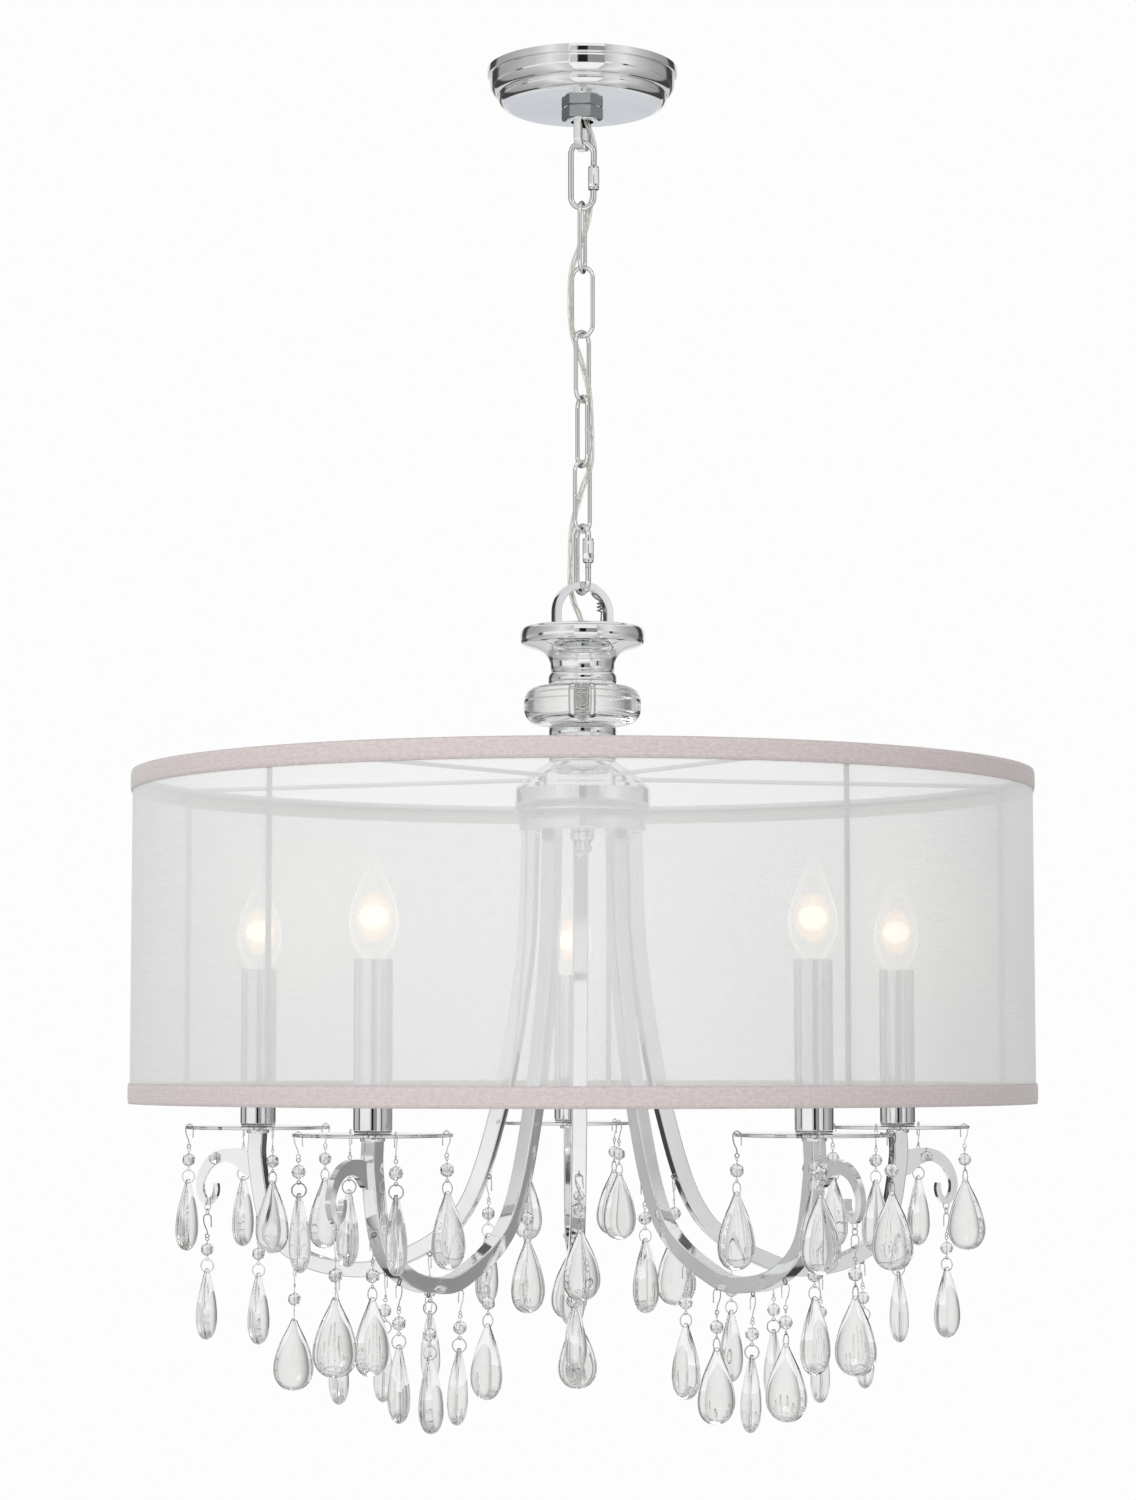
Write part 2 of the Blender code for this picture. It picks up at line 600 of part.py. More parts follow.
def build_hanger(chrome):
    """The bracket under the canopy: a threaded boss and a bar bent to a narrow U."""
    boss_low = COLLAR_TOP_Z - COLLAR_HEIGHT + SEAT
    roof = HANGER_TOP_Z - HANGER_TOP_T
    seat = NIPPLE_LOW_Z - SEAT
    outline = [
        (TUBE_HOLE_R, HANGER_TOP_Z), (HANGER_BOSS_R, HANGER_TOP_Z), (HANGER_BOSS_R, boss_low),
        (HANGER_CAVITY_R, boss_low), (HANGER_CAVITY_R, roof), (TUBE_BORE_R, roof), (TUBE_BORE_R, seat),
        (TUBE_HOLE_R, seat),
    ]
    boss = turned_mesh("boss", outline, COLLAR_SIDES)
    radius = (HANGER_WIDTH - HANGER_BAR) / 2
    turn_z = HANGER_LOW_Z + HANGER_BAR / 2 + radius
    weld_z = roof + WELD
    path = [(-radius, weld_z)]
    path += arc(0, turn_z, radius, radius, 180, 360, 8)
    path += [(radius, weld_z)]
    chamfer = HANGER_BAR * BAR_CHAMFER_SHARE
    band = swept_mesh("band", path, bar_section(HANGER_BAR, HANGER_BAR_DEPTH, chamfer))
    piece = fused("canopy_loop", [boss, band], chrome)
    piece.rotation_euler = (0, 0, radians(HANGER_TURN_DEG))


def build_link(name, top, turn_deg, chrome):
    """One plain chain link, with its origin where the link above holds it."""
    path = [(x, z + WIRE_D / 2) for x, z in stadium(LINK_LENGTH - WIRE_D, LINK_WIDTH - WIRE_D, 6)]
    mesh = swept_mesh(name, path, round_section(WIRE_D / 2), closed=True)
    piece = add_object(name, moved_mesh(mesh, (0, 0, -WIRE_D)), chrome)
    piece.location = (0, 0, top)
    piece.rotation_euler = (0, 0, radians(turn_deg))


def build_quick_link(name, top, turn_deg, nut_z, opens, chrome):
    """A link that opens: a bent wire with a gap, and a nut on its thread that closes the gap.

    The nut runs along the leg away from the gap, upwards where opens is 1 and downwards where it is -1.
    """
    radius = (QUICK_WIDTH - QUICK_WIRE_D) / 2
    length = QUICK_LENGTH - QUICK_WIRE_D
    gap_z = nut_z + QUICK_WIRE_D / 2 - opens * (QUICK_NUT_LENGTH / 2 - QUICK_NUT_COVER - QUICK_GAP / 2)
    loop = stadium(length, QUICK_WIDTH - QUICK_WIRE_D, 8)
    half = len(loop) // 2
    path = [(radius, gap_z - QUICK_GAP / 2)] + loop[half:] + loop[:half] + [(radius, gap_z + QUICK_GAP / 2)]
    wire = swept_mesh(name, path, round_section(QUICK_WIRE_D / 2))
    frame = place(name + "_place", (0, 0, top), radians(turn_deg))
    body = add_object(name, moved_mesh(wire, (0, 0, -QUICK_WIRE_D / 2)), chrome)
    body.parent = frame
    outline = tube_outline(QUICK_NUT_R, QUICK_NUT_BORE_R, -QUICK_NUT_LENGTH / 2, QUICK_NUT_LENGTH / 2)
    nut = add_object(name + "_sleeve", turned_mesh(name + "_sleeve", outline, 12), chrome)
    nut.location = (radius, 0, nut_z)
    nut.parent = frame


def build_chain(chrome):
    """Two quick links with five plain links between them, each turned from the one above."""
    nut_z = -QUICK_LENGTH / 2 - UPPER_NUT_DROP
    build_quick_link("quick_link_top", QUICK_TOP_Z, QUICK_TURN_DEG, nut_z, 1, chrome)
    for number, turn_deg in enumerate(LINK_TURNS_DEG):
        build_link(f"chain_link_{number + 1}", FIRST_LINK_TOP_Z - number * LINK_PITCH, turn_deg, chrome)
    nut_z = -QUICK_LENGTH / 2 + LOWER_NUT_RISE
    build_quick_link("quick_link_bottom", LOWER_QUICK_TOP_Z, LOWER_QUICK_TURN_DEG, nut_z, -1, chrome)


def build_stack(chrome, glass):
    """The flat ring, the spool, the glass disc and the lower collar, threaded on the centre stem."""
    radius = RING_R - RING_BAR / 2
    centre_z = RING_TOP_Z - RING_R
    plate_top = RING_PLATE_Z + RING_PLATE_T
    foot = plate_top - WELD
    path = [(-radius, foot)] + arc(0, centre_z, radius, radius, 180, 0, 14) + [(radius, foot)]
    band = swept_mesh("band", path, bar_section(RING_BAR, RING_BAR_DEPTH, RING_BAR_DEPTH * BAR_CHAMFER_SHARE))
    plate = turned_mesh("plate", tube_outline(RING_PLATE_R, TUBE_HOLE_R, RING_PLATE_Z, plate_top))
    fused("body_loop", [plate, band], chrome)
    rim = SPOOL_RIM_H / 2
    rim_z = SPOOL_TOP_Z - rim
    edge = rim * SPOOL_EDGE_SHARE
    outline = [(SPOOL_WALL_R, SPOOL_TOP_Z)]
    outline += arc(SPOOL_DISH_R - edge, rim_z, edge, rim, 90, -90, 4)
    for radius, shares in (
        (SPOOL_DISH_R, SPOOL_FLARE_SHARES), (SPOOL_NECK_R, SPOOL_NECK_SHARES),
        (SPOOL_BEAD_R, SPOOL_BEAD_SHARES),
    ):
        outline += [(radius * wide, SPOOL_TOP_Z - SPOOL_HEIGHT * down) for wide, down in shares]
    outline += [
        (TUBE_HOLE_R, SPOOL_LOW_Z), (TUBE_HOLE_R, SPOOL_TOP_Z - SPOOL_RECESS),
        (SPOOL_WALL_R, SPOOL_TOP_Z - SPOOL_RECESS),
    ]
    add_object("dish_spool", turned_mesh("dish_spool", outline), chrome)
    half = GLASS_DISC_H / 2
    edge = half * GLASS_EDGE_SHARE
    outline = [(GLASS_DISC_BORE_R, GLASS_TOP_Z)]
    outline += arc(GLASS_DISC_R - edge, GLASS_TOP_Z - half, edge, half, 90, -90, 6)
    outline += [(GLASS_DISC_BORE_R, GLASS_LOW_Z)]
    add_object("glass_disc", turned_mesh("glass_disc", outline), glass)
    low = LOWER_COLLAR_TOP_Z - LOWER_COLLAR_H
    edge = LOWER_COLLAR_R * LOWER_COLLAR_EDGE_SHARE
    outline = [(TUBE_HOLE_R, LOWER_COLLAR_TOP_Z), (LOWER_COLLAR_R - edge, LOWER_COLLAR_TOP_Z)]
    outline += [(LOWER_COLLAR_R, LOWER_COLLAR_TOP_Z - edge), (LOWER_COLLAR_R, low), (TUBE_HOLE_R, low)]
    add_object("lower_collar", turned_mesh("lower_collar", outline), chrome)


def dome_outline():
    """The hub dome's outline below its flat top."""
    return [(LOWER_COLLAR_R + across * (HUB_R - LOWER_COLLAR_R), HUB_TOP_Z - down * HUB_DOME_H)
            for across, down in DOME_SHARES]


def dome_radius(height):
    """The hub dome's radius at a height."""
    points = [(LOWER_COLLAR_R, HUB_TOP_Z)] + dome_outline()
    for (r0, z0), (r1, z1) in zip(points, points[1:]):
        if z1 <= height <= z0:
            return r0 + (r1 - r0) * (z0 - height) / (z0 - z1)
    return HUB_R


def build_hub(chrome, steel):
    """The domed cover, the pan that closes it, the finial under it and the stem that holds them all."""
    outer = [(TUBE_HOLE_R, HUB_TOP_Z), (LOWER_COLLAR_R, HUB_TOP_Z)] + dome_outline() + [(HUB_R, HUB_EDGE_Z)]
    inner = [
        (HUB_R - HUB_WALL, HUB_EDGE_Z), (HUB_R - HUB_WALL, HUB_TOP_Z - HUB_DOME_H),
        (LOWER_COLLAR_R, HUB_TOP_Z - HUB_WALL), (TUBE_HOLE_R, HUB_TOP_Z - HUB_WALL),
    ]
    add_object("hub_cover", turned_mesh("hub_cover", outer + inner), chrome)
    pan_top = HUB_EDGE_Z + PAN_LAP
    floor = PAN_LOW_Z + PAN_WALL
    outline = [
        (PAN_R - PAN_WALL, pan_top), (PAN_R, pan_top), (PAN_R, PAN_LOW_Z), (TUBE_HOLE_R, PAN_LOW_Z),
        (TUBE_HOLE_R, floor), (PAN_R - PAN_WALL, floor),
    ]
    add_object("hub_pan", turned_mesh("hub_pan", outline), chrome)
    low = FINIAL_TOP_Z - FINIAL_H
    grip_z = FINIAL_TOP_Z - FINIAL_GRIP - SEAT
    outline = [(0, grip_z), (TUBE_HOLE_R, grip_z), (TUBE_HOLE_R, FINIAL_TOP_Z), (FINIAL_R, FINIAL_TOP_Z)]
    outline += [(FINIAL_R * wide, FINIAL_TOP_Z - FINIAL_H * down) for wide, down in FINIAL_SHARES]
    ball_r, ball_h = FINIAL_R * FINIAL_BALL_SHARES[0], FINIAL_H * FINIAL_BALL_SHARES[1]
    outline += arc(0, low + ball_h, ball_r, ball_h, 30, -90, 4)
    add_object("hub_finial", turned_mesh("hub_finial", outline, 12), chrome)
    stem_top = RING_PLATE_Z + RING_PLATE_T + STEM_RISE
    outline = tube_outline(TUBE_R, TUBE_BORE_R, FINIAL_TOP_Z - FINIAL_GRIP, stem_top)
    add_object("centre_stem", turned_mesh("centre_stem", outline, 16), steel)


def build_shade(fabric, trim, white):
    """The wire frame with its spider, the sheer drum on it, and the two trims."""
    top = SHADE_TOP_Z - FRAME_WIRE_R - SEAT
    low = SHADE_LOW_Z + FRAME_WIRE_R + SEAT
    meshes = []
    for level in (top, low):
        ring = [
            (FRAME_RING_R + FRAME_WIRE_R * cos(radians(a)), level + FRAME_WIRE_R * sin(radians(a)))
            for a in (90, 18, -54, -126, 162)
        ]
        meshes.append(turned_mesh("frame_ring", ring, SHADE_SIDES))
    upright = round_section(FRAME_WIRE_R * UPRIGHT_SHARE)
    thin = round_section(FRAME_WIRE_R * SPOKE_SHARE)
    ring_top = top + SPIDER_RING_T / 2
    ring_low = top - SPIDER_RING_T / 2
    seat_r = dome_radius(ring_low) + SEAT
    band = tube_outline(seat_r + SPIDER_RING_WIDTH, seat_r, ring_low, ring_top)
    meshes.append(turned_mesh("spider_ring", band))
    post_r = FRAME_RING_R * cos(pi / SHADE_SIDES)
    for number in range(ARM_COUNT):
        turn = radians(UPRIGHT_TURN_DEG + 360 * number / ARM_COUNT)
        post = [(post_r, low), (post_r, top)]
        meshes.append(moved_mesh(swept_mesh("upright", post, upright), turn=turn))
        spoke = [(seat_r + SPIDER_RING_WIDTH / 2, top), (post_r, top)]
        meshes.append(moved_mesh(swept_mesh("spoke", spoke, thin), turn=turn))
    fused("shade_frame", meshes, white)
    drum = tube_outline(FABRIC_R, FABRIC_R - FABRIC_T, SHADE_LOW_Z + FABRIC_INSET, SHADE_TOP_Z - FABRIC_INSET)
    add_object("shade_fabric", turned_mesh("shade_fabric", drum, SHADE_SIDES), fabric)
    for name, high in (("shade_top_trim", SHADE_TOP_Z), ("shade_bottom_trim", SHADE_LOW_Z + TRIM_HEIGHT)):
        band = tube_outline(SHADE_R, SHADE_R - TRIM_T, high - TRIM_HEIGHT, high)
        add_object(name, turned_mesh(name, band, SHADE_SIDES), trim)


def arm_path():
    """The arm's centre line in its own plane: out from the root, down, round and up to the candle."""
    reach = CANDLE_R - ARM_ROOT_R
    points = [(ARM_ROOT_R + out * reach, ARM_TOP_Z - down * ARM_DEPTH) for out, down in ARM_SHARES]
    points.append((CANDLE_R, ARM_SEAT_Z - ARM_FLANGE_T / 2))
    return smooth_path(points, 2)


def scroll_path():
    """The scroll's centre line in the arm's plane, and its width at each step."""
    points = [(CANDLE_R + out * SCROLL_REACH, ARM_SEAT_Z - down * SCROLL_FALL, wide * SCROLL_REACH)
              for out, down, wide in SCROLL_SHARES]
    steps = smooth_path(points, 2)
    return [(step.x, step.y) for step in steps], [step.z for step in steps]


def hang_points(path):
    """The points on the arm's underside where its drops hang."""
    lengths = [0.0]
    for before, after in zip(path, path[1:]):
        lengths.append(lengths[-1] + (after - before).length)
    found = []
    for share in ARM_PIN_SHARES:
        goal = share * lengths[-1]
        index = next(k for k in range(1, len(path)) if lengths[k] >= goal)
        along = path[index] - path[index - 1]
        here = path[index - 1] + along * (goal - lengths[index - 1]) / along.length
        under = Vector((along.y, -along.x)) / along.length
        found.append(here + under * ARM_BAR / 2)
    return found


def build_arm(number, parent, chrome):
    """One arm: the bent bar with its flange and stud, the scroll and its eye, and the drops under it."""
    name = f"arm_{number}"
    path = arm_path()
    bar = swept_mesh("bar", path, bar_section(ARM_BAR, ARM_BAR, 0))
    flange_low = ARM_SEAT_Z - ARM_FLANGE_T
    stud_top = CANDLE_Z + STUD_RISE
    outline = [
        (0, stud_top), (STUD_R, stud_top), (STUD_R, ARM_SEAT_Z), (ARM_FLANGE_R, ARM_SEAT_Z),
        (ARM_FLANGE_R, flange_low), (0, flange_low),
    ]
    flange = moved_mesh(turned_mesh("flange", outline, 10), (CANDLE_R, 0, 0))
    centre, widths = scroll_path()
    scroll = swept_mesh("scroll", centre, bar_section(1.0, SCROLL_T, 0), widths=widths)
    eye = ring_mesh("eye", eye_centre(), EYE_R, EYE_WIRE_R)
    meshes = [bar, flange, scroll, eye]
    for point, turn_deg in zip(hang_points(path), ARM_PEAR_TURNS_DEG):
        turn = radians(turn_deg + 37.0 * number)
        meshes.append(strand_mesh("drop", (point.x, 0, point.y), turn))
    fused(name, meshes, chrome).parent = parent


def eye_centre():
    """The middle of the eye under the scroll's lowest point."""
    centre, widths = scroll_path()
    low = min(range(len(centre)), key=lambda index: centre[index][1])
    return (centre[low][0], 0, centre[low][1] - widths[low] / 2 - EYE_R / 2)


def build_candle(number, parent, glass, chrome, white, bulb_glass):
    """The glass dish with its four drops, the candle sleeve, the socket in it and the bulb."""
    spot = place(f"candle_place_{number}", (CANDLE_R, 0, 0), 0.0, parent)
    outline = [
        (DISH_HOLE_R, DISH_TOP_Z), (DISH_R, DISH_TOP_Z), (DISH_R, DISH_TOP_Z - DISH_T),
        (DISH_HOLE_R, DISH_TOP_Z - DISH_T),
    ]
    meshes = [turned_mesh("dish", outline)]
    hole_r = DISH_R - DROP_HOLE_INSET
    for drop, turn_deg in enumerate(DISH_PEAR_TURNS_DEG[number - 1]):
        around = radians(DISH_TURNS_DEG[number - 1] + 90 * drop)
        hang = (hole_r * cos(around), hole_r * sin(around), DISH_TOP_Z - DISH_T / 2)
        turn = radians(turn_deg - ARM_TURN_DEG - 360 * (number - 1) / ARM_COUNT)
        meshes.append(strand_mesh("drop", hang, turn, DISH_T))
    fused(f"glass_dish_{number}", meshes, glass).parent = spot
    sleeve = tube_outline(CANDLE_SLEEVE_R, CANDLE_SLEEVE_R - CANDLE_SLEEVE_WALL, CANDLE_Z, CANDLE_TOP_Z)
    add_object(f"candle_sleeve_{number}", turned_mesh("sleeve", sleeve, 16), chrome).parent = spot
    socket_top = CANDLE_TOP_Z - SOCKET_TOP_INSET
    base_top = socket_top + SEAT
    base_low = base_top - BULB_BASE_H
    seat = base_low - SEAT
    stud_hole = CANDLE_Z + STUD_RISE + SEAT
    outline = [
        (SOCKET_BORE_R, socket_top), (SOCKET_R, socket_top), (SOCKET_R, CANDLE_Z), (DISH_HOLE_R, CANDLE_Z),
        (DISH_HOLE_R, stud_hole), (0, stud_hole),
    ]
    solid = [(0, seat), (SOCKET_BORE_R, seat)] + outline
    add_object(f"candle_socket_{number}", turned_mesh("socket", solid, 12), white).parent = spot
    foot, rise = BULB_FOOT_SHARES
    outline = [(0, base_low), (BULB_BASE_R * foot, base_low), (BULB_BASE_R, base_low + BULB_BASE_H * rise)]
    outline += [(BULB_BASE_R, base_top)]
    outline += [(BULB_R * wide, base_top + BULB_GLASS_H * up) for up, wide in BULB_SHARES]
    outline += [(0, base_top + BULB_GLASS_H)]
    bulb = add_object(f"bulb_{number}", turned_mesh("bulb", outline, BULB_SIDES), bulb_glass)
    bulb.parent = spot


def build_scroll_drop(number, parent, glass):
    """The drop that hangs from the scroll's eye by its own small ring."""
    x, y, z = eye_centre()
    pivot = z - EYE_R
    ring_z = pivot + 2 * EYE_WIRE_R + SEAT - HANG_RING_R
    ring = ring_mesh("ring", (0, 0, ring_z - pivot), HANG_RING_R, EYE_WIRE_R, pi / 2)
    hang = ring_z - HANG_RING_R - pivot
    turn = radians(70.0 + 43.0 * number)
    strand = strand_mesh("drop", (0, 0, hang + STRAND_GRIP), turn, STRAND_WIRE_R - STRAND_GRIP)
    piece = fused(f"scroll_drop_{number}", [strand, ring], glass)
    piece.location = (x, y, pivot)
    piece.parent = parent


def build_arms(chrome, glass, white, bulb_glass):
    """Five arms, evenly spaced round the hub."""
    for number in range(1, ARM_COUNT + 1):
        turn = radians(ARM_TURN_DEG + 360 * (number - 1) / ARM_COUNT)
        parent = place(f"arm_place_{number}", turn=turn)
        build_arm(number, parent, chrome)
        build_candle(number, parent, glass, chrome, white, bulb_glass)
        build_scroll_drop(number, parent, glass)


def build_cord(clear):
    """The clear supply cord: out of the nipple, from side to side through the chain, into the stem."""
    line = smooth_path(CORD_ROUTE, 8)
    points = [line[0]]
    for point in line[1:-1]:
        far_on = (point - points[-1]).length >= CORD_D * CORD_STEP_SHARE
        room_left = (line[-1] - point).length >= CORD_D * CORD_STEP_SHARE / 2
        if far_on and room_left:
            points.append(point)
    points.append(line[-1])
    curve = bpy.data.curves.new("supply_cord", "CURVE")
    curve.dimensions = "3D"
    curve.bevel_depth = CORD_D / 2
    curve.bevel_resolution = 2
    curve.use_fill_caps = True
    curve.render_resolution_u = 0
    spline = curve.splines.new("POLY")
    spline.points.add(len(points) - 1)
    for spot, point in zip(spline.points, points):
        spot.co = (*point, 1.0)
    curve.materials.append(clear)
    cord = bpy.data.objects.new("supply_cord", curve)
    bpy.context.collection.objects.link(cord)


def main():
    """Build every piece of the chandelier."""
    clear_scene()
    chrome = finish("polished_chrome", (0.80, 0.81, 0.83), 0.06, 1.0)
    grey = finish("grey_collar", (0.42, 0.44, 0.46), 0.35, 0.9)
    steel = finish("zinc_steel", (0.62, 0.62, 0.60), 0.35, 1.0)
    glass = finish("clear_glass", (0.92, 0.94, 0.94), 0.03, 0.0, 0.8)
    bulb_glass = finish("bulb_glass", (1.0, 0.94, 0.82), 0.05, 0.0, 0.6)
    fabric = finish("sheer_organza", (0.84, 0.84, 0.82), 0.7, 0.0)
    trim = finish("silk_trim", (0.66, 0.58, 0.57), 0.6, 0.0)
    clear = finish("clear_cord", (0.80, 0.79, 0.74), 0.25, 0.0, 0.3)
    white = finish("white_enamel", (0.85, 0.85, 0.83), 0.4, 0.0)
    build_ceiling_plate(steel)
    build_canopy(chrome, grey)
    build_hanger(chrome)
    build_chain(chrome)
    build_stack(chrome, glass)
    build_hub(chrome, steel)
    build_shade(fabric, trim, white)
    build_arms(chrome, glass, white, bulb_glass)
    build_cord(clear)


main()
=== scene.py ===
"""Drum chandelier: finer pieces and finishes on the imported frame, a camera and a plain pale studio."""

import logging
from collections.abc import Iterable, Sequence
from dataclasses import dataclass
from enum import Enum
from math import cos, pi, radians, sin, sqrt
from random import Random

import bmesh
import bpy
from mathutils import Matrix, Vector


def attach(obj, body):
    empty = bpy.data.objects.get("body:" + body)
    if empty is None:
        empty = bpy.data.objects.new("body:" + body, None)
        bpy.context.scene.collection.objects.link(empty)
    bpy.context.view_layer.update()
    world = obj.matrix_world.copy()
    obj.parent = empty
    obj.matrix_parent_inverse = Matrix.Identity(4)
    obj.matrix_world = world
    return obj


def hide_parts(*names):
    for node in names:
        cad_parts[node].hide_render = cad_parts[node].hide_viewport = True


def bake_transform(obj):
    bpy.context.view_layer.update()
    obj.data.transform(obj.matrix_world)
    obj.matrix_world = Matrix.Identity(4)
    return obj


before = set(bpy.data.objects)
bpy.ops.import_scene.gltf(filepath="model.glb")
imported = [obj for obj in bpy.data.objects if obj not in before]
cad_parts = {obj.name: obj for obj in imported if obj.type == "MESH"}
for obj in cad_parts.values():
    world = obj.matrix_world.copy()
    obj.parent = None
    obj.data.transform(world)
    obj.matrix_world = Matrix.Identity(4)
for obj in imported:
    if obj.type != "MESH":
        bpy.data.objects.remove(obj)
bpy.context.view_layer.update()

LOG = logging.getLogger("chandelier")
Flat = tuple[float, float]
Point = tuple[float, float, float]
Colour = tuple[float, float, float]
ACROSS = Vector((0, 1, 0))
UP = Vector((0, 0, 1))
ARMS = 5
#: Radius of the hole for the centre stem.
STEM_HOLE = 0.00515
#: Level of the light in each bulb.
FLAME_Z = -0.6190
#: Grey of the white that the camera sees.
PAPER = (0.982, 0.982, 0.982)


class Link:
    """One output in a node tree, with Python's operators for its maths."""

    def __init__(self, graph: "Graph", socket: bpy.types.NodeSocket) -> None:
        """Hold a socket and the graph that it belongs to."""
        self.graph = graph
        self.socket = socket

    def other(self, name: str | int) -> "Link":
        """Another output of the same node."""
        return Link(self.graph, self.socket.node.outputs[name])

    def maths(self, operation: str, first: "Link | float", second: "Link | float" = 0.0) -> "Link":
        """One Math node.

        Args:
            operation: the node's operation.
            first: its first value.
            second: its second value.
        Returns:
            The node's result.
        """
        return self.graph.add("ShaderNodeMath", {"operation": operation}, {0: first, 1: second})

    def __add__(self, more: "Link | float") -> "Link":
        """self + more."""
        return self.maths("ADD", self, more)

    __radd__ = __add__

    def __mul__(self, more: "Link | float") -> "Link":
        """self * more."""
        return self.maths("MULTIPLY", self, more)

    __rmul__ = __mul__

    def __sub__(self, less: "Link | float") -> "Link":
        """self - less."""
        return self.maths("SUBTRACT", self, less)

    def __rsub__(self, whole: "Link | float") -> "Link":
        """whole - self."""
        return self.maths("SUBTRACT", whole, self)

    def __truediv__(self, parts: "Link | float") -> "Link":
        """self / parts."""
        return self.maths("DIVIDE", self, parts)

    def __rtruediv__(self, whole: "Link | float") -> "Link":
        """whole / self."""
        return self.maths("DIVIDE", whole, self)

    def ramp(self, low: float, high: float, start: float = 0.0, end: float = 1.0) -> "Link":
        """A smooth step from start to end while the value goes from low to high."""
        inputs = {"Value": self, "From Min": low, "From Max": high, "To Min": start, "To Max": end}
        return self.graph.add("ShaderNodeMapRange", {"interpolation_type": "SMOOTHSTEP"}, inputs)


class Graph:
    """A node tree that is filled through one method."""

    def __init__(self, tree: bpy.types.NodeTree) -> None:
        """Start with an empty tree."""
        self.tree = tree
        tree.nodes.clear()

    def add(
        self, kind: str, settings: dict | None = None, inputs: dict | None = None, out: str | int = 0,
    ) -> Link:
        """Add a node.

        Args:
            kind: the node's type.
            settings: its own properties.
            inputs: numbers, colours or links for its inputs, by name or place.
            out: the output to return.
        Returns:
            That output.
        """
        node = self.tree.nodes.new(kind)
        for name, value in (settings or {}).items():
            setattr(node, name, value)
        for name, value in (inputs or {}).items():
            if isinstance(value, Link):
                self.tree.links.new(value.socket, node.inputs[name])
            else:
                node.inputs[name].default_value = value
        return Link(self, node.outputs[out] if node.outputs else None)

    def coords(self, scale: Point = (1.0, 1.0, 1.0), kind: str = "Object") -> Link:
        """Texture coordinates of one kind, stretched by a scale."""
        raw = self.add("ShaderNodeTexCoord", out=kind)
        return self.add("ShaderNodeMapping", None, {"Vector": raw, "Scale": scale})

    def noise(self, coords: Link, scale: float, detail: float = 2.0, roughness: float = 0.5) -> Link:
        """A noise value from 0 to 1."""
        inputs = {"Vector": coords, "Scale": scale, "Detail": detail, "Roughness": roughness}
        return self.add("ShaderNodeTexNoise", None, inputs)

    def blend(self, factor: "Link | float", first: "Link | Colour", second: "Link | Colour") -> Link:
        """A mix of two colours."""
        inputs = {0: factor, 6: rgba(first), 7: rgba(second)}
        return self.add("ShaderNodeMix", {"data_type": "RGBA"}, inputs, 2)

    def bump(self, height: Link, distance: float, strength: float = 1.0) -> Link:
        """A bumped normal; distance is in metres."""
        inputs = {"Height": height, "Distance": distance, "Strength": strength}
        return self.add("ShaderNodeBump", None, inputs)


def rgba(colour: "Link | Colour") -> "Link | tuple":
    """A colour with its fourth number, or a link as it is."""
    return colour if isinstance(colour, Link) else (*colour, 1.0)


def new_material(name: str) -> tuple[bpy.types.Material, Graph]:
    """An empty material and its graph."""
    material = bpy.data.materials.new(name)
    material.use_nodes = True
    return material, Graph(material.node_tree)


def output(graph: Graph, surface: Link) -> None:
    """Send a shader to the material's surface."""
    graph.add("ShaderNodeOutputMaterial", None, {"Surface": surface})


def principled(graph: Graph, inputs: dict) -> Link:
    """A Principled shader with these inputs."""
    return graph.add("ShaderNodeBsdfPrincipled", None, inputs)


def partly(graph: Graph, cover: Link, shader: Link) -> Link:
    """A shader that covers a share of the surface and leaves the rest clear."""
    clear = graph.add("ShaderNodeBsdfTransparent")
    return graph.add("ShaderNodeMixShader", None, {0: cover, 1: clear, 2: shader})


@dataclass(frozen=True)
class MetalFinish:
    """A plated or bare metal with faint cloudiness and fine marks.

    Attributes:
        name: the finish's name.
        clear: colour where it is brightest.
        dull: colour where it is a little cloudy.
        smooth: lowest roughness.
        rough: highest roughness.
        grain: how many marks to the metre.
        depth: how deep the marks are, in metres.
        thread: pitch of a screw thread along the vertical, in metres, or 0.
        rim: how bright it stays where it is seen at a low angle; below 1 it paints the edges darker, a
            painted shade.
    """

    name: str
    clear: Colour
    dull: Colour
    smooth: float
    rough: float
    grain: float = 160.0
    depth: float = 0.00001
    thread: float = 0.0
    rim: float = 1.0

    def make(self) -> bpy.types.Material:
        """Build the material."""
        material, graph = new_material(self.name)
        place = graph.coords()
        cloud = graph.noise(place, 22.0, 3.0)
        marks = graph.noise(place, self.grain, 4.0, 0.6)
        height = marks * self.depth
        if self.thread:
            bands = {"wave_type": "BANDS", "bands_direction": "Z"}
            turns = {"Vector": place, "Scale": 1.0 / (self.thread * 3.18)}
            height = height + graph.add("ShaderNodeTexWave", bands, turns, 1) * (self.thread * 0.35)
        inputs = {
            "Base Color": graph.blend(cloud.ramp(0.35, 0.7), self.clear, self.dull),
            "Metallic": 1.0,
            "Roughness": marks.ramp(0.3, 0.75, self.smooth, self.rough),
            "Specular Tint": (self.rim, self.rim, self.rim, 1.0),
            "Normal": graph.bump(height, 1.0),
        }
        output(graph, principled(graph, inputs))
        return material


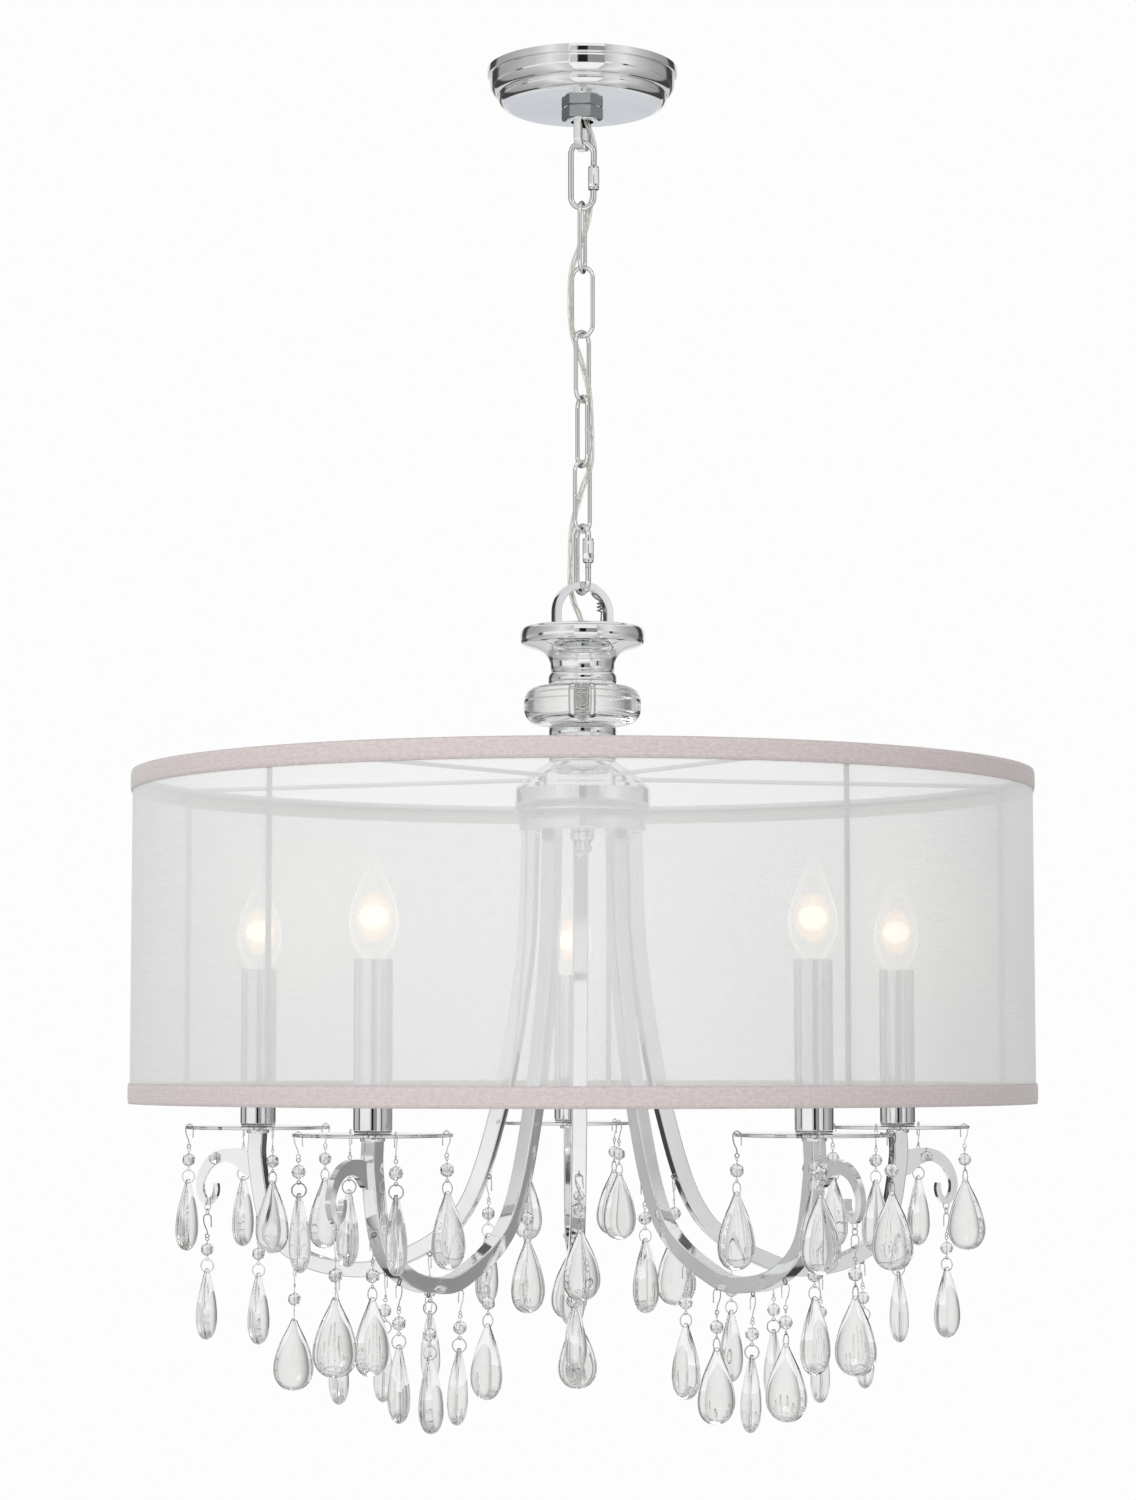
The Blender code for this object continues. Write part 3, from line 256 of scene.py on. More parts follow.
@dataclass(frozen=True)
class CrystalFinish:
    """Clear cut glass with faint drawn streaks.

    Attributes:
        name: the finish's name.
        colour: colour of the light that it lets through.
        tinge: the same, where it is a little deeper.
        index: its refractive index.
        streak: depth of its vertical streaks, in metres.
        streaks: how many streaks to the metre, across.
    """

    name: str
    colour: Colour
    tinge: Colour
    index: float = 1.5
    streak: float = 0.00003
    streaks: float = 240.0

    def make(self) -> bpy.types.Material:
        """Build the material."""
        material, graph = new_material(self.name)
        drawn = graph.noise(graph.coords((1.0, 1.0, 0.08)), self.streaks, 2.0)
        cloud = graph.noise(graph.coords(), 60.0, 2.0)
        inputs = {
            "Base Color": graph.blend(cloud.ramp(0.35, 0.7), self.colour, self.tinge),
            "Roughness": cloud.ramp(0.3, 0.8, 0.0, 0.03),
            "IOR": self.index,
            "Transmission Weight": 1.0,
            "Normal": graph.bump(drawn * self.streak, 1.0),
        }
        output(graph, principled(graph, inputs))
        return material


@dataclass(frozen=True)
class PaintFinish:
    """Enamel or moulded plastic: a plain colour with a fine orange-peel surface.

    Attributes:
        name: the finish's name.
        colour: its colour.
        shade: its colour where it is a little soiled.
        rough: its roughness.
        coat: how much clear gloss lies over it.
    """

    name: str
    colour: Colour
    shade: Colour
    rough: float
    coat: float = 0.0

    def make(self) -> bpy.types.Material:
        """Build the material."""
        material, graph = new_material(self.name)
        place = graph.coords()
        cloud = graph.noise(place, 35.0, 3.0)
        peel = graph.noise(place, 900.0, 1.0)
        inputs = {
            "Base Color": graph.blend(cloud.ramp(0.4, 0.75), self.colour, self.shade),
            "Roughness": cloud.ramp(0.3, 0.8, self.rough, self.rough + 0.12),
            "Coat Weight": self.coat,
            "Normal": graph.bump(peel * 0.00003, 1.0),
        }
        output(graph, principled(graph, inputs))
        return material


@dataclass(frozen=True)
class ClothFinish:
    """Woven cloth on a band or drum whose map runs round it and up it, in metres.

    Attributes:
        name: the finish's name.
        colour: colour of the thread.
        second: colour of the thread that shows between.
        thread: distance between threads, in metres.
        cover: share of the light that the weave stops.
        glow: share of what it stops that passes through it softly.
        rough: roughness of the thread.
        sheen: how silky the thread's edge is.
        slubs: thick places in the thread to the metre, round it and up it.
    """

    name: str
    colour: Colour
    second: Colour
    thread: float
    cover: float
    glow: float
    rough: float
    sheen: float
    slubs: Flat

    def make(self) -> bpy.types.Material:
        """Build the material."""
        material, graph = new_material(self.name)
        around = graph.add("ShaderNodeUVMap", {"uv_map": "cut"})
        cells = {"Vector": around, "Scale": 1.0 / self.thread / 6.2832}
        weft, warp = (
            graph.add("ShaderNodeTexWave", {"bands_direction": way, "wave_type": "BANDS"}, cells, 1)
            for way in "YX"
        )
        long_slubs = graph.add("ShaderNodeMapping", None, {"Vector": around, "Scale": (*self.slubs, 1.0)})
        slub = graph.noise(long_slubs, 1.0, 3.0, 0.65)
        fleck = graph.noise(around, 420.0, 2.0)
        weave = weft * 0.5 + warp * 0.5
        colour = graph.blend(slub.ramp(0.35, 0.7), self.colour, self.second)
        inputs = {
            "Base Color": graph.blend(fleck.ramp(0.45, 0.75, 0.0, 0.5), colour, self.second),
            "Roughness": fleck.ramp(0.3, 0.8, self.rough, self.rough + 0.15),
            "Sheen Weight": self.sheen,
            "Normal": graph.bump((weave + slub * 0.8) * (self.thread * 0.2), 1.0),
        }
        cloth = principled(graph, inputs)
        if self.cover < 1.0:
            through = graph.add("ShaderNodeBsdfTranslucent", None, {"Color": (*self.colour, 1.0)})
            cloth = graph.add("ShaderNodeMixShader", None, {0: self.glow, 1: cloth, 2: through})
            along = graph.add("ShaderNodeLayerWeight", None, {"Blend": 0.5}, 1).ramp(0.1, 1.0, -0.05, 0.28)
            cover = along + self.cover + slub * 0.10 - 0.05 + weave * 0.02
            cloth = partly(graph, cover, cloth)
        output(graph, cloth)
        return material


@dataclass(frozen=True)
class GlowFinish:
    """The lit part of a bulb, brighter at its middle height.

    Attributes:
        name: the finish's name.
        hot: colour at its middle.
        warm: colour at its ends.
        strength: how bright it is.
        height: level of its middle, in metres.
        reach: distance from there to its ends, in metres.
    """

    name: str
    hot: Colour
    warm: Colour
    strength: float
    height: float
    reach: float

    def make(self) -> bpy.types.Material:
        """Build the material."""
        material, graph = new_material(self.name)
        place = graph.add("ShaderNodeSeparateXYZ", None, {0: graph.coords()}, 2)
        away = place.maths("ABSOLUTE", place - self.height)
        inputs = {
            "Base Color": (0.9, 0.85, 0.78, 1.0),
            "Emission Color": graph.blend(away.ramp(self.reach * 0.3, self.reach), self.hot, self.warm),
            "Emission Strength": self.strength,
        }
        output(graph, principled(graph, inputs))
        return material


@dataclass(frozen=True)
class LampGlassFinish:
    """A thin clear shell with a painted glow on it, used on a bulb's glass, where it paints a light outline,
    and on the glare and haze shells, where it paints the glow round the bulb's core.

    Attributes:
        name: the finish's name.
        glow: colour of the painted glow.
        strength: how bright the glow is.
        edge: share of the surface that glows at its edge.
        middle: share of the surface that glows where it is seen square on.
        reach: how far from square on the middle's share has run out, from 0 to 1.
    """

    name: str
    glow: Colour
    strength: float
    edge: float
    middle: float
    reach: float = 0.9

    def make(self) -> bpy.types.Material:
        """Build the material."""
        material, graph = new_material(self.name)
        facing = graph.add("ShaderNodeLayerWeight", None, {"Blend": 0.5}, 1)
        inputs = {"Base Color": (0.02, 0.02, 0.02, 1.0), "Roughness": 0.08}
        inputs |= {"Emission Color": (*self.glow, 1.0), "Emission Strength": self.strength}
        cover = facing.ramp(0.0, self.reach, self.middle, self.edge)
        output(graph, partly(graph, cover, principled(graph, inputs)))
        return material


@dataclass(frozen=True)
class JacketFinish:
    """The clear soft jacket of a lamp cord, a little creamy.

    Attributes:
        name: the finish's name.
        colour: colour of what shows in the jacket.
        cover: share of the light that it stops.
    """

    name: str
    colour: Colour
    cover: float

    def make(self) -> bpy.types.Material:
        """Build the material."""
        material, graph = new_material(self.name)
        cloud = graph.noise(graph.coords((1.0, 1.0, 0.2)), 400.0, 2.0)
        inputs = {
            "Base Color": graph.blend(cloud, self.colour, (0.62, 0.60, 0.54)),
            "Roughness": cloud.ramp(0.3, 0.8, 0.12, 0.25),
            "Coat Weight": 0.6,
        }
        cover = graph.add("ShaderNodeLayerWeight", None, {"Blend": 0.4}, 1).ramp(0.0, 1.0, self.cover, 0.9)
        output(graph, partly(graph, cover, principled(graph, inputs)))
        return material


class Finish(Enum):
    """Every finish on the chandelier."""

    CHROME = MetalFinish("chrome_plate", (0.90, 0.905, 0.915), (0.82, 0.825, 0.84), 0.03, 0.08)
    # The chain's rim of 0 paints its wires dark at their edges: painted shade along the links' outlines.
    CHAIN = MetalFinish(
        "chain_plate", (0.97, 0.97, 0.975), (0.90, 0.90, 0.91), 0.03, 0.07, 200.0, 0.00001, rim=0.0
    )
    WIRE = MetalFinish("bright_wire", (0.88, 0.88, 0.88), (0.74, 0.74, 0.75), 0.08, 0.18, 400.0)
    PIN = MetalFinish("dark_pin", (0.40, 0.40, 0.41), (0.24, 0.24, 0.25), 0.10, 0.25, 400.0)
    COLLAR = MetalFinish("grey_ring", (0.52, 0.54, 0.545), (0.46, 0.48, 0.485), 0.42, 0.52, 300.0, 0.000002)
    STEEL = MetalFinish("zinc_plate", (0.66, 0.66, 0.63), (0.50, 0.50, 0.48), 0.24, 0.45, 240.0, 0.00003)
    THREAD = MetalFinish(
        "threaded_tube", (0.98, 0.98, 0.97), (0.92, 0.92, 0.90), 0.12, 0.28, 240.0, 0.00002, thread=0.001
    )
    CRYSTAL = CrystalFinish("crystal", (0.96, 0.965, 0.96), (0.94, 0.945, 0.935), 1.5, 0.000012, 170.0)
    DISH = CrystalFinish("dish_glass", (0.97, 0.975, 0.97), (0.955, 0.96, 0.955), 1.5, 0.00001, 60.0)
    # The enamel wire is white, but it is given a mid grey: painted shade for a wire held against the cloth,
    # where it blocks the light from behind.
    ENAMEL = PaintFinish("wire_enamel_painted_shade", (0.58, 0.585, 0.585), (0.50, 0.505, 0.505), 0.35, 0.2)
    SOCKET = PaintFinish("white_moulding", (0.80, 0.80, 0.77), (0.70, 0.70, 0.67), 0.45)
    ORGANZA = ClothFinish(
        "sheer_cloth", (0.91, 0.92, 0.915), (0.86, 0.87, 0.87), 0.0009, 0.65, 0.45, 0.6, 0.2, (9.0, 900.0)
    )
    SATIN = ClothFinish(
        "satin_band", (0.625, 0.55, 0.54), (0.535, 0.465, 0.455), 0.0011, 1.0, 0.0, 0.45, 0.4, (260.0, 480.0)
    )
    HOT = GlowFinish("lit_filament", (1.0, 0.93, 0.82), (1.0, 0.80, 0.58), 9.0, FLAME_Z, 0.005)
    # GLARE, HALO and LAMP paint glow: the glare and warm haze round each bulb's core, and a light outline on
    # its glass.
    GLARE = LampGlassFinish("painted_glare_glow", (1.0, 0.95, 0.84), 2.6, 0.0, 0.95, 0.55)
    HALO = LampGlassFinish("painted_haze_glow", (1.0, 0.80, 0.60), 1.25, 0.0, 0.72, 0.60)
    LAMP = LampGlassFinish("bulb_glass_painted_glow", (1.0, 0.96, 0.91), 0.92, 0.60, 0.08)
    JACKET = JacketFinish("clear_jacket", (0.86, 0.85, 0.80), 0.20)
    CORE = MetalFinish("tinned_strands", (0.94, 0.92, 0.86), (0.84, 0.81, 0.74), 0.25, 0.4, 900.0, 0.00004)

    @property
    def material(self) -> bpy.types.Material:
        """The finish's material, made at its first use."""
        return bpy.data.materials.get(self.value.name) or self.value.make()


def smooth_path(points: Sequence[Sequence[float]], steps: int) -> list[Vector]:
    """A smooth curve through points.

    Args:
        points: the points that it passes through.
        steps: stretches between each two of them.
    Returns:
        The curve's points.
    """
    marks = [Vector(point) for point in points]
    ends = [marks[0] * 2 - marks[1]] + marks + [marks[-1] * 2 - marks[-2]]
    found = []
    for a, b, c, d in zip(ends, ends[1:], ends[2:], ends[3:]):
        bend = a * 2 - b * 5 + c * 4 - d
        twist = b * 3 - a - c * 3 + d
        for step in range(steps):
            t = step / steps
            found.append((b * 2 + (c - a) * t + bend * t**2 + twist * t**3) / 2)
    return found + [marks[-1]]


def arc(centre: Flat, radius: float | Flat, start: float, end: float, steps: int) -> list[Flat]:
    """Points on a round or oval arc.

    Args:
        centre: its middle.
        radius: its radius, or its two half sizes.
        start: angle of its first point, in degrees.
        end: angle of its last point, in degrees.
        steps: stretches in it.
    Returns:
        The points.
    """
    wide, high = radius if isinstance(radius, tuple) else (radius, radius)
    turns = [radians(start + (end - start) * step / steps) for step in range(steps + 1)]
    return [(centre[0] + wide * cos(turn), centre[1] + high * sin(turn)) for turn in turns]


def round_section(radius: float, sides: int = 8) -> list[Flat]:
    """Corners of a round wire's section."""
    return [(radius * cos(2 * pi * k / sides), radius * sin(2 * pi * k / sides)) for k in range(sides)]


def circle(radius: float, level: float, sides: int) -> list[Point]:
    """Points on a level circle about the axis."""
    return [(x, y, level) for x, y in round_section(radius, sides)]


def upright(points: Iterable[Sequence[float]]) -> list[Point]:
    """Flat points stood up in the XZ plane."""
    return [(point[0], 0.0, point[1]) for point in points]


def bar_section(wide: float, thick: float, corner: float, steps: int = 2) -> list[Flat]:
    """Corners of a bar's section with rounded edges."""
    found = []
    for x, y, start in ((1, 1, 0), (-1, 1, 90), (-1, -1, 180), (1, -1, 270)):
        centre = (x * (wide / 2 - corner), y * (thick / 2 - corner))
        found += arc(centre, corner, start, start + 90, steps)
    return found


def frames_along(path: Sequence[Vector], side: Vector | None, closed: bool) -> list[Matrix]:
    """A frame at each point of a path, with its third axis along the path.

    Args:
        path: the path's points.
        side: the second axis, where the path lies in a plane; otherwise it is carried along.
        closed: whether the path's end meets its start.
    Returns:
        One matrix a point.
    """
    frames = []
    carried = side
    count = len(path)
    for index, here in enumerate(path):
        before = path[index - 1] if closed or index else here
        after = path[(index + 1) % count] if closed or index < count - 1 else here
        along = (after - before).normalized()
        if carried is None:
            carried = along.orthogonal()
        if side is None:
            carried = (carried - along * carried.dot(along)).normalized()
        across = carried.cross(along).normalized()
        turn = Matrix((across, carried, along)).transposed().to_4x4()
        frames.append(Matrix.Translation(here) @ turn)
    return frames


class Workpiece:
    """A mesh that is shaped with bmesh operators, then finished into one piece of the scene."""

    def __init__(self) -> None:
        """Start with nothing."""
        self.bm = bmesh.new()

    def _mark(self) -> tuple[set, set]:
        """What is there before an operation."""
        return set(self.bm.verts), set(self.bm.faces)

    def _settle(self, mark: tuple[set, set], at: Matrix | None, smooth: bool = True) -> "Workpiece":
        """Put what is new in its place and set its shading."""
        verts = [vert for vert in self.bm.verts if vert not in mark[0]]
        if at is not None:
            bmesh.ops.transform(self.bm, matrix=at, verts=verts)
        for face in self.bm.faces:
            if face not in mark[1]:
                face.smooth = smooth
        return self

    def lathe(self, outline: Sequence[Flat], sides: int = 64, at: Matrix | None = None) -> "Workpiece":
        """Spin an outline of (radius, height) points about the vertical axis.

        Args:
            outline: the points; one that stays off the axis is closed into a ring.
            sides: steps in the full turn.
            at: where the turned shape goes.
        Returns:
            This workpiece.
        """
        mark = self._mark()
        points = [self.bm.verts.new((radius, 0.0, height)) for radius, height in outline]
        edges = [self.bm.edges.new(pair) for pair in zip(points, points[1:])]
        if outline[0][0] > 0 and outline[-1][0] > 0:
            edges.append(self.bm.edges.new((points[-1], points[0])))
        self.spin(points + edges, sides)
        return self._settle(mark, at)

    def spin(self, geom: list, sides: int) -> None:
        """Carry points and edges once round the vertical axis."""
        bmesh.ops.spin(
            self.bm, geom=geom, cent=(0, 0, 0), axis=UP, angle=2 * pi, steps=sides, use_merge=True,
        )

    def prism(self, radius: float, depth: float, edge: float, at: Matrix) -> "Workpiece":
        """A six-sided bar with rounded edges."""
        mark = self._mark()
        bmesh.ops.create_cone(
            self.bm, cap_ends=True, segments=6, radius1=radius, radius2=radius, depth=depth,
        )
        self.bevel(edge, 3, 40)
        return self._settle(mark, at)

    def sweep(
        self, path: Sequence[Sequence[float]], section: Sequence[Flat], side: Vector | None = None,
        closed: bool = False, scales: Sequence[Flat] | None = None, at: Matrix | None = None,
        twist: float = 0.0,
    ) -> "Workpiece":
        """Carry a section along a path by extruding it from frame to frame.

        Args:
            path: the path's points.
            section: corners of the section, across the path and out of its plane.
            side: the direction out of the path's plane, where it has one.
            closed: whether the path's end meets its start.
            scales: two factors for the section at each point.
            at: where the shape goes.
            twist: turn of the section for each metre of path, in radians.
        Returns:
            This workpiece.
        """
        mark = self._mark()
        points = [Vector(point) for point in path]
        frames = frames_along(points, side, closed)
        if twist:
            run = 0.0
            for index in range(1, len(frames)):
                run += (points[index] - points[index - 1]).length
                frames[index] = frames[index] @ Matrix.Rotation(run * twist, 4, "Z")
        if scales:
            frames = [f @ Matrix.Diagonal((a, b, 1.0, 1.0)) for f, (a, b) in zip(frames, scales)]
        ring = [self.bm.verts.new(frames[0] @ Vector((a, b, 0.0))) for a, b in section]
        edges = [self.bm.edges.new(pair) for pair in zip(ring, ring[1:] + ring[:1])]
        first = list(edges)
        stops = frames[1:] + ([frames[0]] if closed else [])
        here = frames[0]
        for there in stops:
            grown = bmesh.ops.extrude_edge_only(self.bm, edges=edges)["geom"]
            verts = [item for item in grown if isinstance(item, bmesh.types.BMVert)]
            edges = [item for item in grown if isinstance(item, bmesh.types.BMEdge) and item.is_boundary]
            bmesh.ops.transform(self.bm, matrix=there @ here.inverted(), verts=verts)
            here = there
        if not closed:
            bmesh.ops.holes_fill(self.bm, edges=first + edges, sides=0)
        return self._settle(mark, at)

    def loop(self, radius: float, wire: float, at: Matrix, sides: int = 20) -> "Workpiece":
        """A closed wire ring that stands in its own XZ plane."""
        path = upright(round_section(radius, sides))
        return self.sweep(path, round_section(wire, 6), ACROSS, True, None, at)

    def ball(self, radius: float, at: Matrix, detail: int = 2, smooth: bool = True) -> "Workpiece":
        """A ball, smooth or cut into flats."""
        mark = self._mark()
        bmesh.ops.create_icosphere(self.bm, subdivisions=detail, radius=radius)
        return self._settle(mark, at, smooth)

    def stamp(self, mesh: bpy.types.Mesh, at: Matrix) -> "Workpiece":
        """Add a copy of a finished mesh at a place."""
        before = set(self.bm.verts)
        self.bm.from_mesh(mesh)
        verts = [vert for vert in self.bm.verts if vert not in before]
        bmesh.ops.transform(self.bm, matrix=at, verts=verts)
        return self

    def bevel(self, width: float, segments: int, over_deg: float) -> "Workpiece":
        """Round every edge that turns more than an angle."""
        limit = radians(over_deg)
        edges = [edge for edge in self.bm.edges if edge.is_manifold and edge.calc_face_angle(0.0) > limit]
        bmesh.ops.bevel(
            self.bm, geom=edges, offset=width, segments=segments, profile=0.5, affect="EDGES", material=-1,
        )
        return self

    def mesh(self, name: str, sharp_deg: float = 40.0) -> bpy.types.Mesh:
        """Close the workpiece into a mesh whose faces point out.

        Args:
            name: the mesh's name.
            sharp_deg: edges that turn more than this stay sharp.
        Returns:
            The mesh.
        """
        bmesh.ops.remove_doubles(self.bm, verts=self.bm.verts, dist=0.000001)
        bmesh.ops.recalc_face_normals(self.bm, faces=self.bm.faces)
        for edge in self.bm.edges:
            if edge.is_manifold:
                edge.smooth = edge.calc_face_angle(0.0) < radians(sharp_deg)
        mesh = bpy.data.meshes.new(name)
        self.bm.to_mesh(mesh)
        self.bm.free()
        return mesh

    def finish(
        self, name: str, finish: Finish, body: str, nodes: Iterable[str] = (), slot: str = "",
        sharp_deg: float = 40.0,
    ) -> bpy.types.Object:
        """Make the workpiece a piece of the scene.

        Args:
            name: the piece's name.
            finish: its finish.
            body: the body that it rides on, or "" to leave it on no body.
            nodes: the nodes that it stands for.
            slot: a material slot's name; not used.
            sharp_deg: edges that turn more than this stay sharp.
        Returns:
            The piece.
        """
        mesh = self.mesh(name, sharp_deg)
        mesh.materials.append(finish.material)
        piece = bpy.data.objects.new(name, mesh)
        bpy.context.collection.objects.link(piece)
        if finish in (Finish.CHROME, Finish.COLLAR, Finish.DISH):
            piece.modifiers.new("flat_faces", "WEIGHTED_NORMAL").keep_sharp = True
        if body:
            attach(piece, body)
        if nodes:
            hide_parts(*nodes)
        faces = len(mesh.polygons)
        LOG.info("%s: %d faces, %s, on %s", name, faces, finish.name.lower(), body or "two bodies")
        return piece


def turned(degrees: float, at: Point = (0.0, 0.0, 0.0)) -> Matrix:
    """A turn about the vertical axis, then a move."""
    return Matrix.Translation(at) @ Matrix.Rotation(radians(degrees), 4, "Z")


def dress(node: str, finish: Finish) -> None:
    """Give a CAD node that stays in view its finish."""
    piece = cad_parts[node]
    piece.data.materials.clear()
    piece.data.materials.append(finish.material)
    LOG.info("%s: kept, %s", node, finish.name.lower())


@dataclass
class CeilingMount:
    """Canopy, its collar and the bracket under it, with the hidden strap and nipple.

    Attributes:
        radius: the canopy's radius.
        depth: the canopy's depth.
        wall: the canopy's thickness.
        collar: the collar's outer and inner radius.
        bracket_turn: the bracket's turn about the vertical, in degrees.
    """

    radius: float = 0.0683
    depth: float = 0.0285
    wall: float = 0.0012
    collar: Flat = (0.0150, 0.0127)
    bracket_turn: float = 65.0

    def build(self) -> None:
        """Make every piece."""
        self.canopy()
        self.ring_nut()
        self.bracket()
        dress("ceiling_crossbar", Finish.STEEL)
        dress("canopy_nipple", Finish.THREAD)

    def canopy(self) -> None:
        """The spun cup with a rim, two soft bulges and a flat underside."""
        r = self.radius
        outer = [(r - 0.0004, 0.0), (r, -0.0004), (r, -0.0050), (r - 0.0005, -0.0056), (0.0664, -0.0059)]
        upper = (
            (0.0664, -0.0061), (0.0666, -0.0078), (0.0664, -0.0112), (0.0657, -0.0148), (0.0632, -0.0182),
            (0.0606, -0.0195),
        )
        lower = (
            (0.0603, -0.0201), (0.0606, -0.0216), (0.0599, -0.0240), (0.0576, -0.0265), (0.0542, -0.0281),
        )
        outer += smooth_path(upper, 4) + smooth_path(lower, 4) + [(0.0528, -self.depth)]
        inner = [(x - self.wall, min(z + self.wall, 0.0)) for x, z in outer if x > 0.0536]
        floor = [(0.0134, -self.depth), (0.0134, self.wall - self.depth)]
        Workpiece().lathe(outer + floor + inner[::-1], 128).finish(
            "canopy_cup", Finish.CHROME, "canopy", ["ceiling_canopy"], "polished_chrome", 50
        )

    def ring_nut(self) -> None:
        """The collar: a six-sided nut on a thin round liner."""
        outer, inner = self.collar
        top = -0.0288
        work = Workpiece()
        bore = inner / cos(pi / 6)
        low = top - 0.0086
        outline = [(bore, top), (outer - 0.0004, top), (outer, top - 0.0005), (outer, low + 0.0006)]
        work.lathe(outline + [(outer - 0.0006, low), (bore, low)], 6, turned(-7.5))
        liner = [(inner, top), (inner + 0.0003, top), (inner + 0.0003, low + 0.0002), (inner, low + 0.0002)]
        work.lathe(liner, 48)
        work.finish("collar_rings", Finish.COLLAR, "canopy", ["loop_collar"], "grey_collar", 12)

    def bracket(self) -> None:
        """The boss through the collar and the flat bar bent to a narrow U."""
        work = Workpiece()
        outline = [(0.0052, -0.0243), (0.0120, -0.0243), (0.0124, -0.0248), (0.0124, -0.0382)]
        outline += [(0.0121, -0.0388), (0.0100, -0.0391), (0.0082, -0.0388), (0.0080, -0.0290)]
        work.lathe(outline + [(0.0052, -0.0290)], 48)
        half = 0.00715
        bend = upright(arc((0.0, -0.0605 + 0.0020 + half), half, 180, 360, 20))
        path = [(-half, 0.0, -0.0292), (-half, 0.0, -0.0400)] + bend
        path += [(half, 0.0, -0.0400), (half, 0.0, -0.0292)]
        work.sweep(path, bar_section(0.0040, 0.0060, 0.0008), ACROSS, at=turned(self.bracket_turn))
        work.finish("bracket_bar", Finish.CHROME, "ceiling_mount", ["canopy_loop"], "polished_chrome", 45)


@dataclass
class Chain:
    """Two quick links and five plain links between them.

    Attributes:
        tops: the top of each plain link.
        turns: the turn of each plain link, in degrees.
        length: a plain link's outer length.
        width: a plain link's outer width.
        wire: a plain link's wire.
    """

    tops: tuple = (-0.0964, -0.1434, -0.1904, -0.2374, -0.2844)
    turns: tuple = (76.0, 160.0, 54.0, 116.0, 48.0)
    length: float = 0.0533
    width: float = 0.0188
    wire: float = 0.0030

    def build(self) -> None:
        """Make every link."""
        for number, (top, turn) in enumerate(zip(self.tops, self.turns), 1):
            self.plain(number, top, turn)
        self.quick("quick_link_top", "upper_sleeve", -0.0519, 0.0, -0.0798, 1)
        self.quick("quick_link_bottom", "lower_sleeve", -0.3304, -60.0, -0.3509, -1)

    def outline(self, length: float, width: float, wire: float, steps: int) -> list[Point]:
        """The centre line of a long loop, from its top downwards."""
        half = (width - wire) / 2
        over = arc((0.0, -wire / 2 - half), half, 180, 0, steps)
        return upright(over + arc((0.0, wire / 2 + half - length), half, 0, -180, steps))

    def plain(self, number: int, top: float, turn: float) -> None:
        """One closed link with the bead of its weld on one leg."""
        path = self.outline(self.length, self.width, self.wire, 16)
        at = turned(turn, (0.0, 0.0, top))
        work = Workpiece().sweep(path, round_section(self.wire / 2, 12), ACROSS, True, None, at)
        if number >= 4:
            r = self.wire / 2
            seam = [(r - 0.0002, 0.0011), (r + 0.0003, 0.0006), (r + 0.0001, 0.0), (r + 0.0003, -0.0006)]
            middle = (-(self.width - self.wire) / 2, 0.0, -self.length / 2)
            work.lathe(seam + [(r - 0.0002, -0.0011)], 12, at @ Matrix.Translation(middle))
        name = f"chain_link_{number}"
        work.finish(name + "_wire", Finish.CHAIN, name, [name], "polished_chrome", 60)

    def quick(self, node: str, sleeve_body: str, top: float, turn: float, nut_z: float, opens: int) -> None:
        """A link that opens, with its six-sided sleeve and the thread at the sleeve's end.

        Args:
            node: the link's node and body.
            sleeve_body: the sleeve's body.
            top: the link's top.
            turn: its turn, in degrees.
            nut_z: level of the sleeve's middle.
            opens: 1 where the sleeve runs up to open the link, -1 where it runs down.
        """
        wire = 0.0040
        half = (0.0203 - wire) / 2
        loop = self.outline(0.0518, 0.0203, wire, 16)
        gap = nut_z - top - opens * 0.0049
        cut = len(loop) // 2
        path = [(half, 0.0, gap - 0.0026)] + loop[cut:] + loop[:cut] + [(half, 0.0, gap + 0.0026)]
        at = turned(turn, (0.0, 0.0, top))
        work = Workpiece().sweep(path, round_section(wire / 2, 14), ACROSS, at=at)
        r = wire / 2
        pitch = 0.0008
        for step in range(5):
            z = nut_z - top + opens * (0.0093 + step * pitch)
            ridge = [(r - 0.0003, z + 0.0004), (r + 0.00022, z), (r - 0.0003, z - 0.0004)]
            work.lathe(ridge, 14, at @ Matrix.Translation((half, 0.0, 0.0)))
        work.finish(node + "_wire", Finish.CHAIN, node, [node], "polished_chrome", 60)
        self.sleeve(node, sleeve_body, at @ Matrix.Translation((half, 0.0, nut_z - top)))

    def sleeve(self, node: str, body: str, at: Matrix) -> None:
        """The six-sided nut with rounded shoulders and a plain ring at each end."""
        work = Workpiece().prism(0.0046, 0.0140, 0.0009, at)
        for low, high in ((-0.0086, -0.0066), (0.0066, 0.0086)):
            ring = [(0.0024, high), (0.0034, high), (0.0038, high - 0.0004), (0.0038, low + 0.0004)]
            work.lathe(ring + [(0.0034, low), (0.0024, low)], 24, at)
        work.finish(node + "_nut", Finish.CHAIN, body, [node + "_sleeve"], "polished_chrome", 25)


